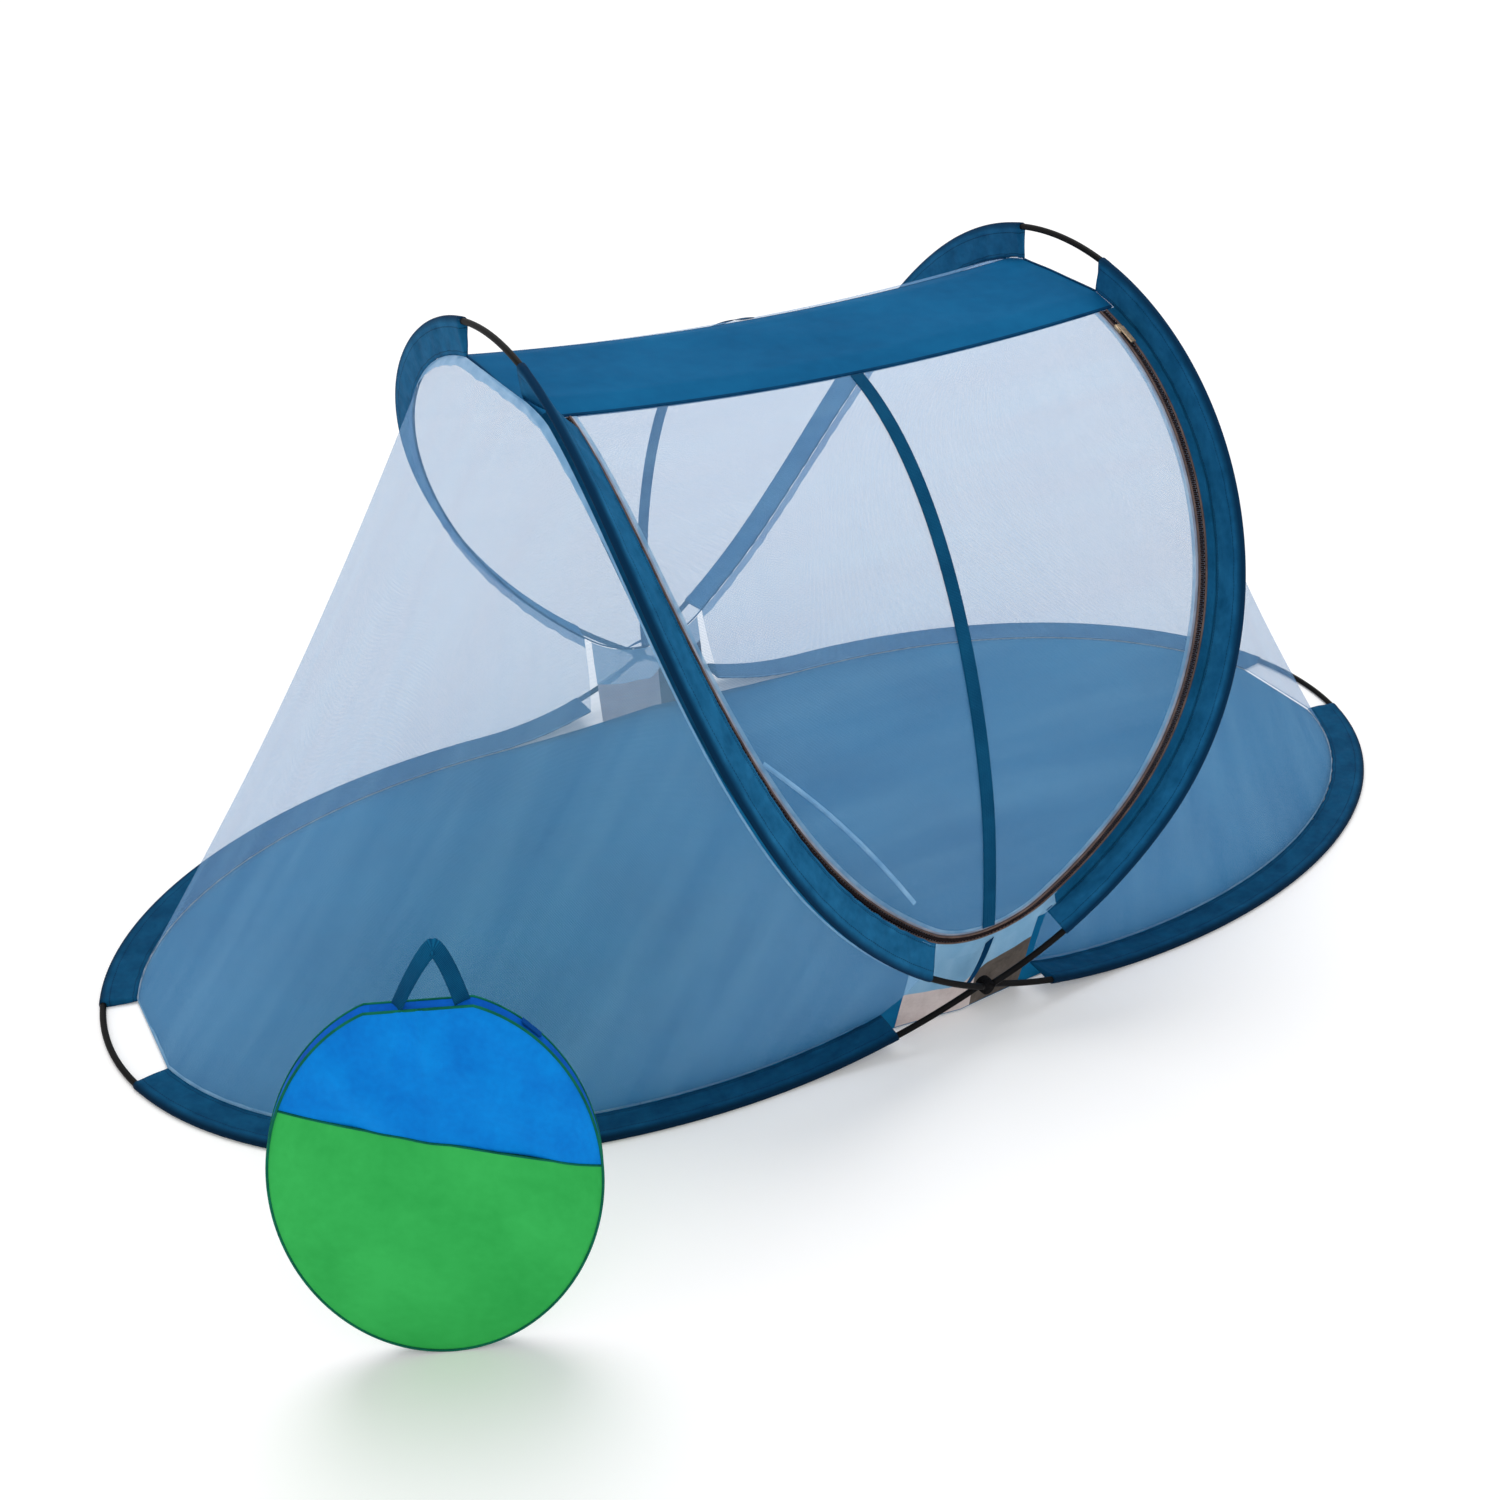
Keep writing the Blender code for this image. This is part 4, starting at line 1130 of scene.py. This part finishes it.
def build_fold(walls):
    """A fold of slack net, caught at the zip, that runs down to the door's foot."""
    rows = []
    for share in spread(0.0, 1.0, 40):
        x = FOLD_X + FOLD_RUN * share
        z = FOLD_Z - FOLD_DROP * share - FOLD_DROOP * share * share + FOLD_BOW * math.sin(math.pi * share)
        high = FOLD_HEIGHT * math.sin(math.pi * min(1.0, 0.08 + 0.9 * share))
        row = []
        for across, lift in ((-1.0, 0.0), (-0.4, 0.8), (0.0, 1.0), (0.4, 0.8), (1.0, 0.0)):
            spot = FOLD_HALF_WIDTH * across
            row.append(walls.point(x + spot, z + spot * 0.8, FRONT, FOLD_LIFT + high * lift))
        rows.append(row)
    fold = grid("door_fold", rows, "net_hem", flip=True)
    return fit(ride_upper(fold, RIGHT, "front_door"), "net")


def build_webbing(name, walls, end, inset):
    """A band of webbing down the outside of a wall's middle, with thick edges."""
    rows = []
    for _, z in walls.line(inset):
        lean = webbing_lean(walls.share(z)) if end == FRONT else 0.0
        row = []
        for share in spread(-1.0, 1.0, 7):
            lift = WEBBING_LIFT + WEBBING_EDGE * (abs(share) > 0.8)
            row.append(walls.point(WEBBING_WIDTH / 2 * share + lean, z, end, lift))
        rows.append(row)
    return thicken(grid(name, rows, "webbing", flip=end == FRONT), WEBBING_THICKNESS)


def build_back(walls):
    for side, name in SIDES:
        rows = wall_rows(walls, 0.0, BACK, 30, min(side, 0.0), max(side, 0.0))
        net = grid(f"net_back_{name}", rows, "net")
        fit(ride_upper(net, side), "net", f"back_net_{name}")
        line = [walls.point(side * x, z, BACK, BACK_SEAM_LIFT) for x, z in walls.line(BACK_SEAM_INSET)]
        seam = tube(f"back_seam_{name}", line, BACK_SEAM_RADIUS, "hem")
        fit(ride_upper(seam, side), "sleeve")
        declare(net)
    webbing = build_webbing("back_band", walls, BACK, 0.0)
    fit(ride_upper(webbing, RIGHT), "webbing", "back_webbing")


def gusset_rows(walls, end, label):
    """Rows of a gusset, from a wall's round foot to the floor: its skirt, or the sheet below it that is
    painted in the colours of the shaded ground.
    """
    base = base_leaf(LEFT)
    rows = []
    for x, z in both_sides(walls.line(-SEAM_GAP)[WALL_ROWS:]):
        top = walls.point(x, z, end)
        edge = base.point(base.share_at(abs(x), SEAM_INSET), BACK, SEAM_INSET).y
        low = Vector((x, end * edge, FLOOR_TOP + GUSSET_FLOOR_GAP))
        split = 0.52 - 0.22 * min(1.0, max(0.0, x / GUSSET_SPLIT_OVER))
        first, last = (0.0, split) if label == "skirt" else (split, 1.0)
        row = []
        for share in spread(first, last, 7):
            fold = math.sin(math.pi * share) * ripple(x, share * 2, 4.0, GUSSET_FOLD_PITCH)
            out = Vector((0.0, end * GUSSET_FOLD_HEIGHT * fold, 0.0))
            row.append(top.lerp(low, share) + out)
        rows.append(row)
    return rows


def build_gusset(walls, end, place):
    """The small net between a wall's round foot and the floor, a sheet below it painted as the shaded
    ground under the wires, and a strap.
    """
    skirt, shaded_ground_sheet = (grid(f"{label}_{place}", gusset_rows(walls, end, label), label, flip=end == BACK)
                     for label in ("skirt", "shaded_ground_sheet"))
    fit(ride_base(skirt, "right_base"), "net", f"gusset_{place}")
    fit(ride_base(shaded_ground_sheet, "right_base"), "net")
    # painted shadow: right of the crossing the sheet turns dark brown-grey, as the ground in deep shadow
    # under the wire
    second_look(shaded_ground_sheet, "deep_shadow_sheet", lambda spot: spot.x > DEEP_SHADOW_FROM)
    declare(skirt)
    lean = webbing_lean(0.0) if end == FRONT else 0.0
    start = walls.point(lean, walls.line(0.0)[-1][1] + STRAP_UP, end, STRAP_OUT)
    stop = Vector((STRAP_END_X, end * (ROOT_HALF_WIDTH + STRAP_OUT), CROSSING_HEIGHT + STRAP_UP))
    half = Vector((STRAP_HALF_RUN, 0.0, STRAP_HALF_RISE))
    rows = []
    for along in spread(0.0, 1.0, 14):
        bow = Vector((0.0, end * STRAP_BOW * math.sin(math.pi * along), 0.0))
        middle = start.lerp(stop, along) + bow
        rows.append([middle + half * share for share in spread(-1, 1, 5)])
    strap = thicken(grid(f"strap_{place}", rows, "hem", flip=end == FRONT), STRAP_THICKNESS)
    fit(ride_base(strap, "right_base"), "webbing")


def roof_edge(walls):
    """The roof's edge along the right arch, from its front to its back."""
    leaf = arch_leaf(RIGHT)
    shares = spread(walls.roof_share, leaf.gap_share(), 8)
    front = [leaf.point(share, FRONT, SEAM_INSET, SEAM_SPREAD) for share in shares]
    front[0] = front[0] + Vector((0.0, ROOF_EDGE_GAP, 0.0))
    back = [Vector((place.x, -place.y, place.z)) for place in reversed(front)]
    return front + between(front[-1], back[0], 20) + back


def build_roof(walls):
    """The roof cloth, with dark folded hems at its front, back and tips."""
    edge = roof_edge(walls)
    run = lengths(edge)

    def surface(side, place, across, outward=0.0):
        spot = edge[place]
        sag = ROOF_SAG * (1 - across * across)
        inner = math.sin(math.pi * run[place] / run[-1])
        along = 0.5 * side * spot.x * across + run[place]
        pull = ROOF_PULL_HEIGHT * inner * ripple(along, 0.0, 2.4, ROOF_PULL_PITCH)
        return Vector((side * spot.x * across, spot.y, spot.z - sag + pull + outward))

    for side, name in SIDES:
        rows = [[surface(side, place, across) for across in spread(0.0, 1.0, 34)]
                for place in range(len(edge))]
        roof = grid(f"roof_cloth_{name}", rows, "roof", flip=side == LEFT)
        fit(ride_upper(roof, side), "roof", f"roof_{name}")
        trims = []
        for label, place, inward in (("front", 0, 1), ("back", len(edge) - 1, -1)):
            section = [Vector((0.0, inward * into, up)) for into, up in ROOF_HEM]
            rows = [[surface(side, place, across) + spot for spot in section]
                    for across in spread(0.0, 1.0, 40)]
            trims.append(grid(f"roof_hem_{label}_{name}", rows, "hem", flip=side == LEFT))
        tips = [surface(side, place, 1.0, ROOF_TIP_LIFT) for place in range(7, len(edge) - 7)]
        trims.append(tube(f"roof_tip_{name}", tips, ROOF_TIP_RADIUS, "hem"))
        for trim in trims:
            fit(ride_upper(trim, side), "roof")
        declare(roof)


def build_floor():
    """The floor sheet, flat on the ground inside the base seams, with soft wrinkles."""
    edges = []
    for leaf in (base_leaf(LEFT), base_leaf(RIGHT)):
        shares = spread(leaf.share_at(0.0, SEAM_INSET), leaf.gap_share(), 70)
        edges.append([leaf.point(share, BACK, SEAM_INSET) for share in shares])
    rows = []
    for point in list(reversed(edges[0])) + edges[1][1:]:
        row = []
        for share in spread(-1.0, 1.0, 44):
            y = abs(point.y) * share
            soft = (1 - share ** 4) * max(0.0, 1 - (abs(point.x) / BASE_REACH) ** 4)
            wave = 1 + ripple(point.x + 0.4 * y, y * 5, 3.0, FLOOR_BUMP_PITCH)
            row.append(Vector((point.x, y, FLOOR_TOP + FLOOR_BUMP * soft * wave)))
        rows.append(row)
    floor = thicken(grid("floor_sheet", rows, "floor"), FLOOR_THICKNESS, -1.0)
    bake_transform(floor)
    fit(floor, "floor", "floor_left", "floor_right")


# Small parts


def round_crossing(y, radius, turn):
    """A place at a distance from the line through both crossings."""
    return Vector((radius * math.cos(turn), y, CROSSING_HEIGHT + radius * math.sin(turn)))


def build_ties():
    """Wound binding round each crossing of the hoops."""
    half = HOOP_OFFSET + WIRE_RADIUS - TIE_END_GAP
    core_section = (
        (-half, TIE_CORE_END),
        (-half, TIE_CORE),
        (0.0, TIE_CORE_MIDDLE),
        (half, TIE_CORE),
        (half, TIE_CORE_END),
    )
    turns = [2 * math.pi * step / 20 for step in range(20)]
    for end, place in ENDS:
        middle = end * ROOT_HALF_WIDTH
        points = []
        for share in spread(0.0, 1.0, 190):
            belly = TIE_WINDING + TIE_BELLY * math.sin(math.pi * share)
            points.append(round_crossing(middle + half * (2 * share - 1), belly, 2 * math.pi * 8 * share))
        piece = tube(f"tie_{place}", points, TIE_TAPE_RADIUS, "tie")
        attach(piece, "right_base")
        fit(piece, "tie", f"crossing_tie_{place}")
        rows = [[round_crossing(middle + y, size, turn) for turn in turns] for y, size in core_section]
        core = grid(f"tie_core_{place}", rows, "tie", ring=True, capped=True)
        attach(core, "right_base")
        fit(core, "tie")


def build_camera():
    data = bpy.data.cameras.new("camera")
    data.sensor_width = SENSOR_WIDTH
    data.lens = CAMERA_LENS
    camera = add_object("camera", data)
    camera.location = CAMERA_PLACE
    camera.rotation_euler = (math.pi / 2 - CAMERA_PITCH, 0.0, -CAMERA_YAW)
    bpy.context.scene.camera = camera


def build_ground():
    """A white floor that glows faintly for the camera."""
    mesh = bpy.data.meshes.new("ground")
    corners = [(x * GROUND_HALF, y * GROUND_HALF, 0.0) for x, y in ((-1, -1), (1, -1), (1, 1), (-1, 1))]
    mesh.from_pydata(corners, [], [(0, 1, 2, 3)])
    nodes = Nodes("ground")
    mesh.materials.append(nodes.finish(0.9, GROUND_COLOUR, gloss=0.0))
    seen = nodes.add("ShaderNodeLightPath").outputs["Is Camera Ray"]
    nodes.shader.inputs["Emission Color"].default_value = WHITE
    nodes.join(nodes.math("MULTIPLY", seen, GROUND_GLOW), nodes.shader.inputs["Emission Strength"])
    add_object("ground", mesh)


def build_sky():
    """An even sky that the camera sees as white, also by reflection and through glass."""
    world = bpy.data.worlds.new("sky")
    bpy.context.scene.world = world
    world.use_nodes = True
    tree = world.node_tree
    light = tree.nodes.new("ShaderNodeLightPath")
    strength = tree.nodes.new("ShaderNodeMapRange")
    strength.inputs["To Min"].default_value = SKY_LEVEL
    strength.inputs["To Max"].default_value = 1.0
    seen = light.outputs["Is Camera Ray"]
    for kind in ("Is Glossy Ray", "Is Transmission Ray"):
        either = tree.nodes.new("ShaderNodeMath")
        either.operation = "MAXIMUM"
        tree.links.new(seen, either.inputs[0])
        tree.links.new(light.outputs[kind], either.inputs[1])
        seen = either.outputs[0]
    tree.links.new(seen, strength.inputs["Value"])
    background = tree.nodes["Background"]
    tree.links.new(strength.outputs[0], background.inputs["Strength"])
    background.inputs["Color"].default_value = WHITE


def build_lamps():
    """Soft light from behind and above, and a fill from the front left."""
    for name, energy, angle, direction in LAMPS:
        data = bpy.data.lights.new(name, "SUN")
        data.energy = energy
        data.angle = math.radians(angle)
        lamp = add_object(name, data)
        lamp.rotation_euler = Vector(direction).to_track_quat("Z", "Y").to_euler()


# Carry bag


def bag_rim_point(turn, grow=0.0):
    """Outline of the bag, clockwise from its top, cut flat under the handle."""
    x = (BAG_HALF_WIDTH + grow) * math.sin(turn)
    y = (BAG_HALF_HEIGHT + grow) * math.cos(turn)
    flat = (BAG_HALF_HEIGHT + grow) * math.cos(math.asin(BAG_FLAT_HALF / BAG_HALF_WIDTH))
    return x, min(y, flat)


def bag_seam_y(x):
    share = (x + BAG_HALF_WIDTH) / (2 * BAG_HALF_WIDTH)
    return BAG_SEAM_LEFT + (BAG_SEAM_RIGHT - BAG_SEAM_LEFT) * share


def bag_depth(x, y, wrinkled):
    """Height of the bag's face over its middle plane: a shallow pillow with gathers."""
    round_share = (x / BAG_HALF_WIDTH) ** 2 + (y / BAG_HALF_HEIGHT) ** 2
    pillow = BAG_HALF - BAG_FACE_SUNK + BAG_PILLOW * max(0.0, 1 - round_share ** 2)
    if not wrinkled:
        return pillow + BAG_WAVE_HEIGHT * ripple(x + 0.3 * y, y * 9, 1.0, BAG_WAVE_PITCH)
    edge = max(0.0, 1 - round_share ** 3)
    over = max(0.0, (y - BAG_GATHERS_FROM) / BAG_HALF_HEIGHT)
    fan = math.atan2(x, BAG_HALF_HEIGHT + BAG_FAN_ABOVE - y)
    gathers = math.sin(fan * 21 + 1.1) * (0.5 + 0.5 * math.sin(fan * 7 + 2.0))
    slant = BAG_SLANT_HEIGHT * edge * ripple(0.75 * x + 0.66 * y, x * 6, 5.2, BAG_SLANT_PITCH)
    return pillow + BAG_GATHER_HEIGHT * over * edge * gathers + slant


def bag_face(name, turns, wrinkled, look):
    """A front face of the bag between its slanted seam and an arc of its outline."""
    first_x, last_x = (bag_rim_point(turn, -BAG_FACE_IN)[0] for turn in turns)
    count = 90
    rows = []
    for turn, share in zip(spread(*turns, count), spread(0.0, 1.0, count)):
        soft = (1 - math.cos(math.pi * share)) / 2
        x0 = first_x + (last_x - first_x) * soft
        y0 = bag_seam_y(x0)
        x1, y1 = bag_rim_point(turn, -BAG_FACE_IN)
        row = []
        for along in spread(0.0, 1.0, 27):
            x = x0 + (x1 - x0) * along
            y = y0 + (y1 - y0) * along
            row.append(Vector((x, y, bag_depth(x, y, wrinkled))))
        rows.append(row)
    return grid(name, rows, look, flip=True)


def bag_back():
    """The back of the bag, as a fan from its middle to its outline."""
    rows = []
    for turn in spread(0.0, 2 * math.pi, 96):
        rim_x, rim_y = bag_rim_point(turn, -BAG_FACE_IN)
        row = []
        for along in spread(0.0, 1.0, 24):
            x, y = rim_x * along, rim_y * along
            row.append(Vector((x, y, -bag_depth(x, y, False))))
        rows.append(row)
    return grid("bag_face_back", rows, "bag_green")


def bag_side(name, first, last, look):
    """A strip of the bag's rim between two turns, slightly crowned."""
    rows = []
    for turn in spread(first, last, 60):
        row = []
        for share in spread(-1.0, 1.0, 5):
            x, y = bag_rim_point(turn, BAG_SIDE_CROWN * (1 - share * share) - BAG_SIDE_IN)
            row.append(Vector((x, y, (BAG_HALF - BAG_SIDE_SUNK) * share)))
        rows.append(row)
    return grid(name, rows, look)


def bag_piping(name, depth):
    ring = [Vector((*bag_rim_point(turn, -BAG_FACE_IN), depth)) for turn in spread(0.0, 2 * math.pi, 160)]
    return tube(name, ring, BAG_PIPING_RADIUS, "bag_edge")


def bag_seam(left, right):
    """The slanted seam across the bag's front, between two turns."""
    line = []
    for x in spread(bag_rim_point(left)[0] + BAG_SEAM_END, bag_rim_point(right)[0] - BAG_SEAM_END, 60):
        y = bag_seam_y(x)
        depth = max(bag_depth(x, y, False), bag_depth(x, y, True))
        line.append(Vector((x, y, depth + BAG_SEAM_LIFT)))
    return tube("bag_seam", line, BAG_SEAM_RADIUS, "bag_edge")


def seam_turn(side):
    """The outline's angle where the slanted seam meets it."""
    def test(turn):
        x, y = bag_rim_point(turn)
        return (y > bag_seam_y(x)) == (side == RIGHT)

    return halve(*sorted((side * 0.2, side * 2.0)), test)


def build_handle():
    """The strap loop on the bag, folded to a soft point at its top."""
    foot = bag_rim_point(0.0)[1] - HANDLE_SUNK
    half = HANDLE_HALF_WIDTH - HANDLE_STRAP / 2
    outward = Vector((0.0, 0.0, 1.0))
    centres = []
    for share in spread(-1.0, 1.0, 60):
        bow = 1 - abs(share) ** 1.25
        x = HANDLE_SHIFT + half * math.copysign(abs(share) ** 0.92, share) + HANDLE_LEAN * bow
        centres.append(Vector((x, foot + (HANDLE_HEIGHT - HANDLE_SUNK) * bow, 0.0)))
    rows = []
    for index, centre in enumerate(centres):
        before = centres[max(index - 1, 0)]
        after = centres[min(index + 1, len(centres) - 1)]
        travel = (after - before).normalized()
        share = index / (len(centres) - 1)
        tilt = math.radians(62 - 30 * share)
        across = (travel.cross(outward) * math.cos(tilt) + outward * math.sin(tilt)).normalized()
        width = HANDLE_STRAP / 2 * 0.92
        rows.append([centre + across * width * spot for spot in spread(-1.0, 1.0, 7)])
    return thicken(grid("bag_strap", rows, "strap"), HANDLE_THICKNESS)


def pack(piece, slot, *nodes):
    """Set a piece of the bag, drawn lying down, in its place, where it rides on the bag."""
    turn = Matrix.Rotation(BAG_TURN, 4, "Z") @ Matrix.Rotation(math.pi / 2, 4, "X")
    piece.matrix_world = Matrix.Translation((*BAG_PLACE, BAG_HALF_HEIGHT + CLEARANCE)) @ turn
    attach(piece, "bag")
    return fit(piece, slot, *nodes)


def build_bag():
    right = seam_turn(RIGHT)
    left = seam_turn(LEFT)
    upper = bag_face("bag_face_upper", (left, right), True, "bag_blue")
    lower = bag_face("bag_face_lower", (right, 2 * math.pi + left), False, "bag_green")
    faces = (
        pack(upper, "bag_blue", "bag_front_upper"),
        pack(lower, "bag_green", "bag_front_lower"),
        pack(bag_back(), "bag_green", "bag_back"),
    )
    sides = [pack(bag_side(name, first, last, look), "bag_blue", node)
             for name, first, last, look, node in BAG_SIDES]
    for label, side in (("front", 1), ("rear", -1)):
        pack(bag_piping(f"bag_piping_{label}", side * (BAG_HALF - BAG_PIPING_SUNK)), "bag_green")
    pack(bag_seam(left, right), "bag_green")
    pack(build_handle(), "webbing", "bag_handle")
    for piece in faces:
        declare(piece)
    for piece in sides:
        declare(piece)


def dress_nodes(nodes):
    """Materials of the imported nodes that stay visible."""
    for name, look in (
        ("ferrule_left", "ferrule"),
        ("ferrule_right", "ferrule"),
        ("zip_slider", "slider"),
        ("zip_pull_tab", "slider"),
        ("bag_zip_pull", "bag_pull"),
    ):
        for slot in nodes[name].material_slots:
            slot.material = LOOKS[look]


def main():
    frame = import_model()
    LOOKS.update(make_looks())
    build_camera()
    build_ground()
    build_sky()
    build_lamps()
    bpy.context.scene.view_settings.view_transform = "Standard"
    walls = Walls()
    build_wires()
    build_sleeves()
    build_floor()
    build_roof(walls)
    for side, name in SIDES:
        build_end_net(side, name)
    build_zip(walls)
    build_front(walls)
    build_back(walls)
    for end, place in ENDS:
        build_gusset(walls, end, place)
    build_ties()
    build_bag()
    dress_nodes(frame["nodes"])


main()
